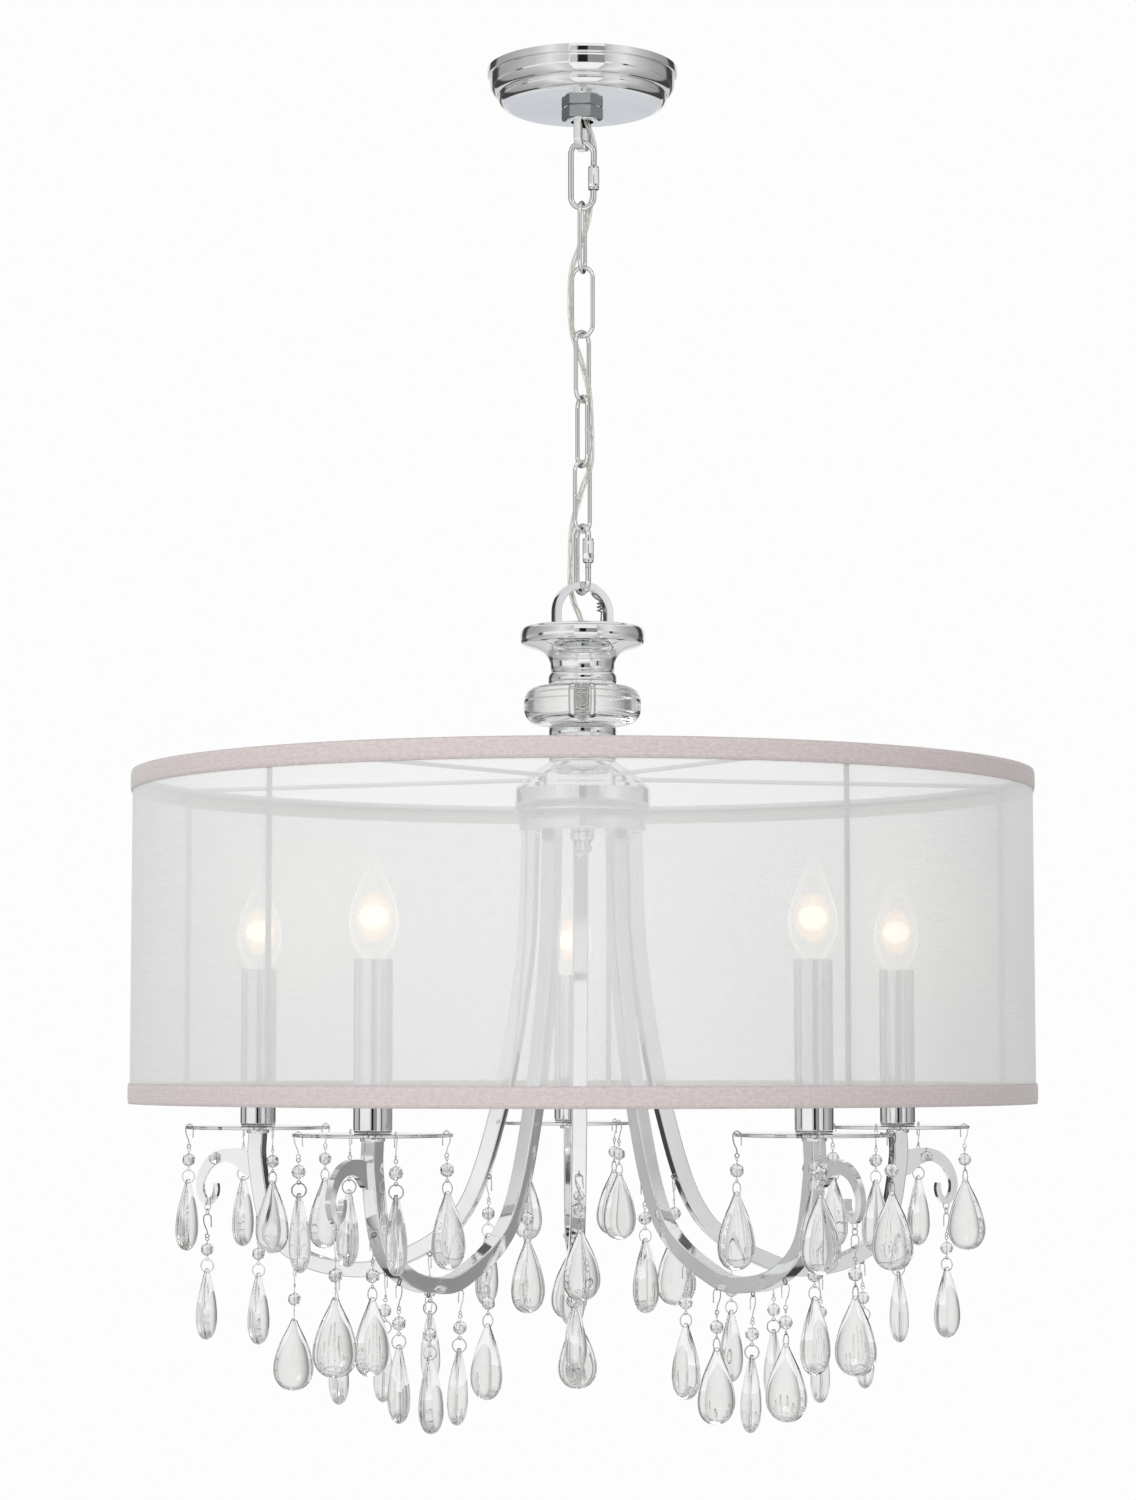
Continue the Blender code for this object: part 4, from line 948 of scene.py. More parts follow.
@dataclass
class Stack:
    """The flat ring, spool, glass disc, lower collar and domed hub on the centre stem.

    Attributes:
        ring_z: level of the ring's middle.
        ring_bar: width and depth of the ring's bar.
        ring_turn: the ring's turn about the vertical, in degrees.
        spool_top: level of the spool's top.
        disc_top: level of the glass disc's top.
        hub_top: level of the hub's top.
    """

    ring_z: float = -0.3951
    ring_bar: Flat = (0.0053, 0.0070)
    ring_turn: float = 24.0
    spool_top: float = -0.4050
    disc_top: float = -0.4476
    hub_top: float = -0.5014

    def build(self) -> None:
        """Make every piece."""
        self.ring()
        self.spool()
        self.disc()
        self.collar()
        self.hub()
        dress("centre_stem", Finish.THREAD)

    def turn_chrome(self, name: str, node: str, outline: Sequence[Flat], sides: int) -> None:
        """Turn one chrome piece of the stack from its outline."""
        work = Workpiece().lathe(outline, sides)
        work.finish(name, Finish.CHROME, "fixture", [node], "polished_chrome", 40)

    def ring(self) -> None:
        """The flat-sided ring on its round plate."""
        work = Workpiece()
        foot = self.spool_top - 0.0010
        wide, deep = self.ring_bar
        half = 0.0228 - wide / 2
        bend = upright(arc((0.0, self.ring_z), half, 180, 0, 36))
        path = [(-half, 0.0, foot)] + bend + [(half, 0.0, foot)]
        work.sweep(path, bar_section(wide, deep, 0.0005, 2), ACROSS, at=turned(self.ring_turn))
        low = self.spool_top - 0.0039
        plate = [(STEM_HOLE, low + 0.0030), (0.0258, low + 0.0030), (0.0262, low + 0.0026)]
        work.lathe(plate + [(0.0262, low + 0.0004), (0.0258, low), (STEM_HOLE, low)], 64)
        work.finish("body_ring", Finish.CHROME, "fixture", ["body_loop"], "polished_chrome", 45)

    def spool(self) -> None:
        """The turned dish, its waist and the bead under it."""
        top = self.spool_top
        outline = [(0.0300, top - 0.0042), (0.0300, top - 0.0004), (0.0304, top)]
        wall = ((0.0398, top), (0.0420, top - 0.0006), (0.0434, top - 0.0023), (0.0441, top - 0.0056))
        wall += ((0.0441, top - 0.0082), (0.0437, top - 0.0106), (0.0428, top - 0.0124))
        shelf = ((0.0412, top - 0.0133), (0.0372, top - 0.0146), (0.0316, top - 0.0162))
        shelf += ((0.0282, top - 0.0179), (0.0254, top - 0.0204), (0.0234, top - 0.0242))
        shelf += ((0.0227, top - 0.0301),)
        outline += smooth_path(wall, 4) + [(0.0417, top - 0.0129)] + smooth_path(shelf, 4)
        outline += [(0.0228, top - 0.0311), (0.0222, top - 0.0316), (0.0225, top - 0.0323)]
        outline += arc((0.0218, top - 0.0373), (0.0026, 0.0048), 80, -70, 10)
        outline += [(0.0226, top - 0.0423), (STEM_HOLE, top - 0.0423), (STEM_HOLE, top - 0.0042)]
        self.turn_chrome("spool_dish", "dish_spool", outline, 128)

    def disc(self) -> None:
        """The thick clear disc with a round edge."""
        top = self.disc_top
        low = top - 0.0270
        outline = [(0.00685, top), (0.0300, top)]
        outline += arc((0.0305, top - 0.0110), 0.0110, 86, 4, 14)
        outline += arc((0.0305, low + 0.0110), 0.0110, -4, -86, 14)
        outline += [(0.0300, low), (0.00685, low)]
        Workpiece().lathe(outline, 128).finish(
            "clear_disc", Finish.DISH, "fixture", ["glass_disc"], "clear_glass", 40
        )

    def collar(self) -> None:
        """The plain collar between disc and hub."""
        top = self.disc_top - 0.0273
        swell = ((0.0224, top), (0.0235, top - 0.0013), (0.0241, top - 0.0040), (0.0240, top - 0.0070))
        swell += ((0.0235, top - 0.0094), (0.0236, top - 0.0100))
        outline = [(STEM_HOLE, top)] + smooth_path(swell, 4)
        outline += [(0.0238, top - 0.0104), (0.0241, top - 0.0255), (0.0237, top - 0.0262)]
        outline += [(STEM_HOLE, top - 0.0262)]
        self.turn_chrome("stack_collar", "lower_collar", outline, 96)

    def hub(self) -> None:
        """The domed cover, the pan that closes it and the turned knob under it."""
        top = self.hub_top
        edge = top - 0.0355
        outline = [(STEM_HOLE, top), (0.0241, top)]
        outline += smooth_path(((0.0247, top - 0.0004), (0.0326, top - 0.0050), (0.0390, top - 0.0098),
                                (0.0432, top - 0.0142), (0.0444, top - 0.0160)), 4)
        outline += [(0.0452, top - 0.0163), (0.0462, top - 0.0176), (0.0474, top - 0.0190)]
        outline += [(0.0478, top - 0.0200)]
        outline += [(0.0478, edge + 0.0006), (0.0475, edge), (0.0464, edge), (0.0464, top - 0.0200)]
        outline += [(0.0241, top - 0.0014), (STEM_HOLE, top - 0.0014)]
        self.turn_chrome("hub_dome", "hub_cover", outline, 128)
        low = edge - 0.0140
        pan = [(0.0437, edge + 0.0060), (0.0453, edge + 0.0060), (0.0453, low + 0.0016)]
        pan += arc((0.0437, low + 0.0016), 0.0016, -10, -90, 4)
        pan += [(STEM_HOLE, low), (STEM_HOLE, low + 0.0016), (0.0437, low + 0.0016)]
        self.turn_chrome("hub_base", "hub_pan", pan, 128)
        peak = low - 0.0003
        knob = [(0.0, peak - 0.0063), (STEM_HOLE, peak - 0.0063), (STEM_HOLE, peak), (0.0082, peak)]
        knob += [(0.0085, peak - 0.0006), (0.0085, peak - 0.0048), (0.0078, peak - 0.0058)]
        knob += [(0.0060, peak - 0.0072)]
        knob += arc((0.0, peak - 0.0110), (0.0069, 0.0045), 28, -90, 10)
        self.turn_chrome("hub_knob", "hub_finial", knob, 48)


@dataclass
class Shade:
    """The wire frame, the sheer drum stretched on it and its two satin bands.

    Attributes:
        radius: outer radius of the bands.
        top: level of its top.
        low: level of its bottom.
        band: height of a band.
        sides: steps round it.
        first: azimuth of the first upright, in degrees.
    """

    radius: float = 0.3178
    top: float = -0.5106
    low: float = -0.7416
    band: float = 0.0140
    sides: int = 192
    first: float = 14.0

    def build(self) -> None:
        """Make every piece."""
        self.wires()
        bands = [
            self.ribbon("top_band", self.top, "shade_top_trim"),
            self.ribbon("bottom_band", self.low + self.band, "shade_bottom_trim"),
        ]
        self.cloth(bands)

    def wires(self) -> None:
        """Two rings, five uprights and five spokes from the hub."""
        work = Workpiece()
        ring, hoop = 0.3138, 0.0352
        for level in (self.top - 0.0023, self.low + 0.0023):
            work.sweep(circle(ring, level, 160), round_section(0.0020, 8), UP, True)
        level = self.top - 0.0023
        for number in range(ARMS):
            at = turned(self.first + 360.0 / ARMS * number)
            post = [(ring, 0.0, self.low + 0.0023), (ring, 0.0, level)]
            work.sweep(post, round_section(0.0018, 8), ACROSS, at=at)
            spoke = [(hoop, 0.0, level), (0.1500, 0.0, level), (ring, 0.0, level)]
            work.sweep(spoke, round_section(0.00155, 8), ACROSS, at=at)
        band = bar_section(0.0040, 0.0040, 0.0006, 2)
        work.sweep(circle(hoop, level, 64), band, UP, True)
        work.finish("shade_wires", Finish.ENAMEL, "fixture", ["shade_frame"], "white_enamel", 50)

    def wrap(self, name: str, radius: float, top: float, low: float, rows: int, bulge: float) -> Workpiece:
        """A strip of cloth round the drum, from its top down, with a map in metres.

        Args:
            name: name of the strip.
            radius: its radius.
            top: level of its top.
            low: level of its bottom.
            rows: rows of faces in it.
            bulge: how far it stands out at its middle.
        Returns:
            The strip as a workpiece.
        """
        work = Workpiece()
        points = []
        for row in range(rows + 1):
            share = row / rows
            out = bulge * (1.0 - (2.0 * share - 1.0) ** 6)
            points.append(work.bm.verts.new((radius + out, 0.0, top + (low - top) * share)))
        edges = [work.bm.edges.new(pair) for pair in zip(points, points[1:])]
        work.spin(points + edges, self.sides)
        for face in work.bm.faces:
            face.smooth = True
        LOG.info("%s: wrapped in %d faces", name, len(work.bm.faces))
        return work

    def map_round(self, piece: bpy.types.Object) -> None:
        """Give a strip its map: metres round it and metres up it."""
        mesh = piece.data
        layer = mesh.uv_layers.new(name="cut")
        for face in mesh.polygons:
            middle = face.center
            base = Vector((middle.x, middle.y, 0.0)).normalized()
            start = Vector((1.0, 0.0)).angle_signed(Vector((base.x, base.y)))
            for loop in face.loop_indices:
                spot = mesh.vertices[mesh.loops[loop].vertex_index].co
                off = Vector((base.x, base.y)).angle_signed(Vector((spot.x, spot.y)))
                layer.data[loop].uv = ((start + off) * -self.radius, spot.z)

    def ribbon(self, name: str, top: float, node: str) -> bpy.types.Object:
        """One satin band, folded over the ring's edge."""
        work = self.wrap(name, self.radius - 0.0006, top, top - self.band, 6, 0.0006)
        piece = work.finish(name, Finish.SATIN, "fixture", [node], "silk_trim", 60)
        self.map_round(piece)
        fold = piece.modifiers.new("thickness", "SOLIDIFY")
        fold.thickness = 0.0006
        fold.offset = -1.0
        return piece

    def cloth(self, bands: list[bpy.types.Object]) -> None:
        """The sheer drum."""
        work = self.wrap("sheer_drum", self.radius - 0.0014, self.top - 0.0004, self.low + 0.0004, 12, 0.0)
        piece = work.finish("sheer_drum", Finish.ORGANZA, "fixture", ["shade_fabric"], "sheer_organza", 60)
        self.map_round(piece)


@dataclass
class Drop:
    """One hanging drop: hook, faceted bead, ring and flat pear, made once and stamped where it hangs.

    Attributes:
        bead_z: level of the bead's middle.
        ring_z: level of the ring's middle.
        pear_top: level of the pear's top.
        pear: length, width and thickness of the pear.
    """

    bead_z: float = -0.0250
    ring_z: float = -0.0368
    pear_top: float = -0.0385
    pear: Point = (0.0510, 0.0290, 0.0140)

    def __post_init__(self) -> None:
        """Make the meshes that are stamped."""
        self.hook_mesh = self.hook().mesh("hook")
        self.link_mesh = self.links().mesh("links")
        self.glass_mesh = self.glass().mesh("glass", 75)
        self.pin_mesh = Workpiece().loop(0.0015, 0.0005, Matrix.Identity(4), 14).mesh("pin")

    def hook(self) -> Workpiece:
        """The bent wire: a straight free end, a round top, an easy S and a small eye."""
        bend = 0.0027
        path = [(-bend, -0.0090), (-bend, -0.0055), (-bend, -0.0026)] + arc((0.0, -0.0024), bend, 170, 10, 8)
        path += [(bend, -0.0040), (0.0020, -0.0075), (0.0004, -0.0110), (-0.0001, -0.0138)]
        path = smooth_path(upright(path + arc((0.0, -0.0153), 0.0013, 100, -250, 12)), 2)
        return Workpiece().sweep(path, round_section(0.00042, 6), ACROSS)

    def links(self) -> Workpiece:
        """The pin through the bead with a loop at each end, and the ring that carries the pear."""
        work = Workpiece()
        wire = 0.00036
        for z, turn in ((-0.0175, 90.0), (self.bead_z - 0.0068, 90.0)):
            work.loop(0.0012, wire, turned(turn, (0.0, 0.0, z)), 12)
        pin = [(0.0, 0.0, -0.0187), (0.0, 0.0, self.bead_z), (0.0, 0.0, self.bead_z - 0.0056)]
        work.sweep(pin, round_section(wire, 6), ACROSS)
        work.loop(0.0046, 0.00045, turned(90.0, (0.0, 0.0, self.ring_z)), 24)
        return work

    def glass(self) -> Workpiece:
        """The bead, cut in flats, and the pear: a smooth flat teardrop inside a thin rim."""
        work = Workpiece()
        work.ball(0.0047, Matrix.Translation((0.0, 0.0, self.bead_z)), 2, False)
        length, width, thick = self.pear
        quarter = [(1.0, 0.0), (0.985, 0.07), (0.93, 0.10), (0.905, 0.15)]
        flat = (0.985, 0.95, 0.90, 0.82, 0.72, 0.60, 0.46, 0.31, 0.15)
        quarter += [(0.905 * x, 0.15 + 0.85 * sqrt(1 - x * x)) for x in flat]
        quarter += [(0.0, 1.0)]
        left = [(-x, y) for x, y in quarter[-2:0:-1]]
        upper = quarter + left
        section = upper + [(-x, -y) for x, y in upper]
        stations = (
            (0.0, 0.06, 0.10), (0.008, 0.11, 0.18), (0.03, 0.155, 0.25), (0.07, 0.21, 0.32),
            (0.13, 0.31, 0.42), (0.20, 0.44, 0.54), (0.28, 0.585, 0.67), (0.36, 0.715, 0.78),
            (0.44, 0.82, 0.87), (0.52, 0.905, 0.94), (0.60, 0.965, 0.985), (0.68, 1.0, 1.0),
            (0.76, 0.985, 0.975), (0.83, 0.92, 0.905), (0.89, 0.80, 0.79), (0.94, 0.635, 0.63),
            (0.975, 0.43, 0.43), (0.993, 0.22, 0.22), (1.0, 0.06, 0.06),
        )
        rows = smooth_path(stations, 3)
        path = [(0.0, 0.0, self.pear_top - row.x * length) for row in rows]
        scales = [(row.y * width / 2, row.z * thick / 2) for row in rows]
        work.sweep(path, section, ACROSS, scales=scales)
        return work

    def hang(
        self, wires: Workpiece, crystals: Workpiece, at: Matrix, hook_turn: float, pear_turn: float,
        lean: Flat = (0.0, 0.0),
    ) -> None:
        """Stamp one drop.

        Args:
            wires: the workpiece for its wire parts.
            crystals: the workpiece for its glass parts.
            at: the place that it hangs from.
            hook_turn: turn of its hook, in degrees.
            pear_turn: turn of its pear's width, in degrees.
            lean: how far it leans off the plumb line, in degrees, two ways.
        """
        lean_by = Matrix.Rotation(radians(lean[0]), 4, "X") @ Matrix.Rotation(radians(lean[1]), 4, "Y")
        here = at @ lean_by
        wires.stamp(self.hook_mesh, here @ turned(hook_turn))
        wires.stamp(self.link_mesh, here @ turned(pear_turn))
        crystals.stamp(self.glass_mesh, here @ turned(pear_turn))


@dataclass
class Arm:
    """One arm with all that it carries.

    Attributes:
        number: its place round the hub.
        drop: the drop that is stamped.
        first: azimuth of the first arm, in degrees.
        root: distance from the axis to where the bar leaves the hub.
        reach: distance from the axis to the candle.
        top: level of the bar's root.
        depth: fall from there to the bar's lowest point.
        bar: width of the square bar.
        seat: level of the flange under the dish.
        dish_top: level of the dish's top.
        candle_top: level of the candle's top.
        bulb_size: the bulb's radius and height.
        scroll_size: the scroll's span and fall.
        shares: the bar's course, as shares of its run and its depth.
        pins: where the drops hang, as shares of the bar's length.
        pin_pears: how the pears under each arm are turned, in degrees.
        scroll_pears: how the pear under each scroll is turned.
        scroll_shares: the scroll's course and width, as shares of its size.
        dish_turns: turn of each dish's first drop.
        dish_pears: how the pears round each dish are turned.
    """

    number: int
    drop: Drop

    first: float = 19.9
    root: float = 0.0380
    reach: float = 0.2435
    top: float = -0.5512
    depth: float = 0.3080
    bar: float = 0.0110
    seat: float = -0.7613
    dish_top: float = -0.7588
    candle_top: float = -0.6460
    bulb_size: Flat = (0.0159, 0.0705)
    scroll_size: Flat = (0.0470, 0.0550)
    shares: tuple = (
        (0.0, 0.0), (0.022, 0.30), (0.112, 0.63), (0.255, 0.880), (0.520, 0.990), (0.700, 1.0),
        (0.850, 0.970), (0.955, 0.900), (1.0, 0.760),
    )
    pins: tuple = (0.477, 0.610, 0.677, 0.744, 0.8055, 0.881)
    pin_pears: tuple = (
        (10.0, 62.0, -88.0, 90.0, 85.0, 88.0), (20.0, 70.0, 5.0, 60.0, 88.0, 57.0),
        (70.0, 90.0, -86.0, 84.0, 4.0, 76.0), (38.0, -45.0, 88.0, 70.0, -74.0, 42.0),
        (60.0, -58.0, 27.0, 85.0, -24.0, 50.0),
    )
    scroll_pears: tuple = (52.0, 14.0, 80.0, 5.0, -27.0)
    scroll_shares: tuple = (
        (0.030, 0.464, 0.362), (0.130, 0.455, 0.350), (0.290, 0.375, 0.270), (0.500, 0.341, 0.202),
        (0.690, 0.385, 0.172), (0.840, 0.500, 0.146), (0.935, 0.690, 0.118), (0.915, 0.860, 0.106),
        (0.819, 0.957, 0.096), (0.715, 0.900, 0.088), (0.672, 0.800, 0.080), (0.677, 0.712, 0.068),
    )
    dish_turns: tuple = (47.1, 45.0, 33.1, 54.1, 52.1)
    dish_pears: tuple = (
        (62.0, -60.0, 50.0, -27.0), (90.0, -42.0, 30.0, 20.0), (75.0, -32.0, 43.0, 76.0),
        (88.0, 45.0, -75.0, 90.0), (-27.0, 60.0, 30.0, 25.0),
    )

    @property
    def turn(self) -> float:
        """The arm's azimuth, in degrees."""
        return self.first + 360.0 / ARMS * (self.number - 1)

    @property
    def candle_axis(self) -> Matrix:
        """The upright line through the dish, the candle and the bulb."""
        return turned(self.turn) @ Matrix.Translation((self.reach, 0.0, 0.0))

    def build(self) -> None:
        """Make every piece of this arm."""
        self.chance = Random(40 + self.number)
        self.bar_and_scroll()
        self.bar_drops()
        self.dish()
        self.candle()
        self.bulb()
        self.scroll_drop()

    def line(self) -> list[Vector]:
        """The arm's centre line in its own upright plane, root to seat, as (out, up)."""
        run = self.reach - self.root
        points = [(self.root + out * run, self.top - down * self.depth) for out, down in self.shares]
        return smooth_path(points + [(self.reach, self.seat - 0.0011)], 8)

    def bar_and_scroll(self) -> None:
        """The bent square bar with its flange and stud, and the flat scroll with its eye."""
        at = turned(self.turn)
        work = Workpiece()
        work.sweep(upright(self.line()), bar_section(self.bar, self.bar, 0.0010, 3), ACROSS, at=at)
        flange = [(0.0, -0.7445), (0.0040, -0.7445), (0.0042, -0.7450), (0.0042, self.seat)]
        flange += [(0.0080, self.seat), (0.0082, self.seat - 0.0003), (0.0082, self.seat - 0.0024)]
        flange += [(0.0079, self.seat - 0.0028), (0.0, self.seat - 0.0028)]
        work.lathe(flange, 40, self.candle_axis)
        span, fall = self.scroll_size
        points = [
            (self.reach + out * span, self.seat - down * fall, wide * span)
            for out, down, wide in self.scroll_shares
        ]
        steps = smooth_path(points, 6)
        scales = [(p.z, 1.0) for p in steps]
        work.sweep(upright(steps), bar_section(1.0, 0.0045, 0.0), ACROSS, scales=scales, at=at)
        work.loop(0.0023, 0.0006, at @ Matrix.Translation(self.eye()), 18)
        work.finish(f"arm_bar_{self.number}", Finish.CHROME, "fixture", [f"arm_{self.number}"],
                    "polished_chrome", 50)

    def eye(self) -> Point:
        """The middle of the eye under the scroll."""
        return (0.281993, 0.0, -0.819641 + 0.0023)

    def hang_points(self) -> list[tuple[Vector, Vector]]:
        """Each point under the bar where a drop hangs, with the way down from the bar there."""
        line = self.line()
        run = [0.0]
        for before, after in zip(line, line[1:]):
            run.append(run[-1] + (after - before).length)
        found = []
        for share in self.pins:
            goal = share * run[-1]
            index = next(k for k in range(1, len(line)) if run[k] >= goal)
            along = (line[index] - line[index - 1]).normalized()
            here = line[index - 1] + along * (goal - run[index - 1])
            under = Vector((along.y, -along.x))
            found.append((here + under * self.bar / 2, under))
        return found

    def bar_drops(self) -> None:
        """The six drops under the bar."""
        pins, wires, crystals = Workpiece(), Workpiece(), Workpiece()
        for index, (point, under) in enumerate(self.hang_points()):
            pin = point + under * 0.0010
            at = turned(self.turn) @ Matrix.Translation((pin.x, 0.0, pin.y))
            pins.stamp(self.drop.pin_mesh, at)
            low = turned(self.turn) @ Matrix.Translation((pin.x, 0.0, pin.y - 0.0010))
            hook = 90.0 + self.chance.uniform(-25.0, 25.0)
            pear = self.pin_pears[self.number - 1][index] - self.turn
            lean = (self.chance.uniform(-1.5, 1.5), self.chance.uniform(-1.5, 1.5))
            self.drop.hang(wires, crystals, low, hook, pear, lean)
        node = f"arm_{self.number}"
        pins.finish(f"arm_pins_{self.number}", Finish.PIN, "fixture", [node], "polished_chrome", 60)
        self.finish_drops("arm", wires, crystals, "fixture", node)

    def finish_drops(self, kind: str, wires: Workpiece, crystals: Workpiece, body: str, node: str) -> None:
        """Finish the wires and the glass of one kind of drop.

        Args:
            kind: the first word of their names.
            wires: the wire parts.
            crystals: the glass parts.
            body: the body that they ride on.
            node: the node that they stand for.
        """
        wires.finish(f"{kind}_wires_{self.number}", Finish.WIRE, body, [node], "polished_chrome", 60)
        crystals.finish(f"{kind}_crystals_{self.number}", Finish.CRYSTAL, body, [node], "clear_glass", 75)

    def dish(self) -> None:
        """The clear dish and its four drops."""
        at = self.candle_axis
        top, low = self.dish_top, self.dish_top - 0.0022
        outline = [(0.0045, top), (0.0516, top), (0.0519, top - 0.0001), (0.0520, top - 0.0004)]
        outline += [(0.0520, low + 0.0004), (0.0519, low + 0.0001), (0.0516, low), (0.0045, low)]
        node = f"glass_dish_{self.number}"
        Workpiece().lathe(outline, 96, at).finish(
            f"dish_{self.number}", Finish.DISH, "fixture", [node], "clear_glass", 60
        )
        wires, crystals = Workpiece(), Workpiece()
        for index, pear in enumerate(self.dish_pears[self.number - 1]):
            around = self.dish_turns[self.number - 1] + 90.0 * index
            place = at @ turned(around) @ Matrix.Translation((0.0500, 0.0, top + 0.0008))
            wires.ball(0.0009, place @ Matrix.Translation((0.0, 0.0, 0.0004)), 1)
            lean = (self.chance.uniform(-1.2, 1.2), self.chance.uniform(-1.2, 1.2))
            own = pear - self.turn - around
            self.drop.hang(wires, crystals, place, 0.0, own, lean)
        self.finish_drops("dish", wires, crystals, "fixture", node)

    def candle(self) -> None:
        """The chrome candle tube with a rolled top, on a dark washer."""
        at = self.candle_axis
        low, top = self.dish_top + 0.0017, self.candle_top
        outline = [(0.0118, low), (0.0124, low), (0.0127, low + 0.0003), (0.0127, top - 0.0012)]
        washer = [(0.0050, low - 0.0014), (0.0120, low - 0.0014), (0.0123, low - 0.0010)]
        washer += [(0.0123, low - 0.0004), (0.0119, low + 0.0004), (0.0050, low + 0.0004)]
        node = [f"candle_sleeve_{self.number}"]
        Workpiece().lathe(washer, 48, at).finish(
            f"candle_washer_{self.number}", Finish.PIN, "fixture", node, "polished_chrome", 40
        )
        outline += arc((0.0121, top - 0.0006), 0.0006, 0, 180, 6)
        outline += [(0.0115, top - 0.0012), (0.0118, top - 0.0020)]
        Workpiece().lathe(outline, 64, at).finish(
            f"candle_tube_{self.number}", Finish.CHROME, "fixture", node, "polished_chrome", 40
        )
        dress(f"candle_socket_{self.number}", Finish.SOCKET)

    def bulb(self) -> None:
        """The pointed bulb: its screw base, its glass with a painted light outline, the lit core inside with
        painted glare and haze round it, and a small lamp there.
        """
        at = self.candle_axis
        foot = self.candle_top - 0.0007
        radius, height = self.bulb_size
        shares = (
            (0.0, 0.37), (0.05, 0.52), (0.14, 0.80), (0.27, 0.97), (0.40, 1.0), (0.60, 0.78),
            (0.80, 0.38), (0.93, 0.15), (0.985, 0.06), (1.0, 0.0),
        )
        curve = smooth_path([(radius * wide, foot + height * up) for up, wide in shares], 4)
        outline = [(0.0, foot)] + [(max(p.x, 0.0), p.y) for p in curve[:-1]] + [(0.0, foot + height)]
        body, node = f"bulb_{self.number}", [f"bulb_{self.number}"]
        Workpiece().lathe(outline, 40, at).finish(f"bulb_glass_{self.number}", Finish.LAMP, body, node,
                                                  "bulb_glass", 60)
        # The glare and haze shells are painted glow round the lit core, not lamps.
        parts = (("core", Finish.HOT, (0.0022, 0.0042)), ("glare", Finish.GLARE, (0.0118, 0.0108)))
        for part, finish, size in parts + (("haze", Finish.HALO, (0.0150, 0.0190)),):
            oval = arc((0.0, FLAME_Z), size, -90, 90, 18)
            piece = Workpiece().lathe(oval, 32, at).finish(
                f"bulb_{part}_{self.number}", finish, body, node, "bulb_glass", 60
            )
            piece.visible_shadow = False
        data = bpy.data.lights.new(f"bulb_light_{self.number}", "POINT")
        data.energy = 0.02
        data.color = (1.0, 0.70, 0.44)
        data.shadow_soft_size = 0.004
        lamp = bpy.data.objects.new(data.name, data)
        lamp.location = at @ Vector((0.0, 0.0, FLAME_Z))
        lamp.visible_glossy = False
        bpy.context.collection.objects.link(lamp)
        base = [(0.0, foot - 0.0250), (0.0036, foot - 0.0250), (0.0058, foot - 0.0215)]
        for step in range(8):
            z = foot - 0.0205 + step * 0.0024
            base += [(0.0060, z), (0.0056, z + 0.0012)]
        base += [(0.0058, foot - 0.0004), (0.0, foot - 0.0004)]
        Workpiece().lathe(base, 32, at).finish(f"bulb_base_{self.number}", Finish.STEEL, body, node,
                                               "bulb_glass", 40)

    def scroll_drop(self) -> None:
        """The drop that hangs from the scroll's eye by its own ring."""
        wires, crystals = Workpiece(), Workpiece()
        at = turned(self.turn) @ Matrix.Translation(self.eye())
        wires.loop(0.0022, 0.0005, at @ turned(90.0, (0.0, 0.0, -0.0036)), 16)
        low = at @ Matrix.Translation((0.0, 0.0, -0.0056))
        self.drop.hang(wires, crystals, low, 20.0, self.scroll_pears[self.number - 1] - self.turn)
        body = f"scroll_drop_{self.number}"
        self.finish_drops("scroll", wires, crystals, body, body)


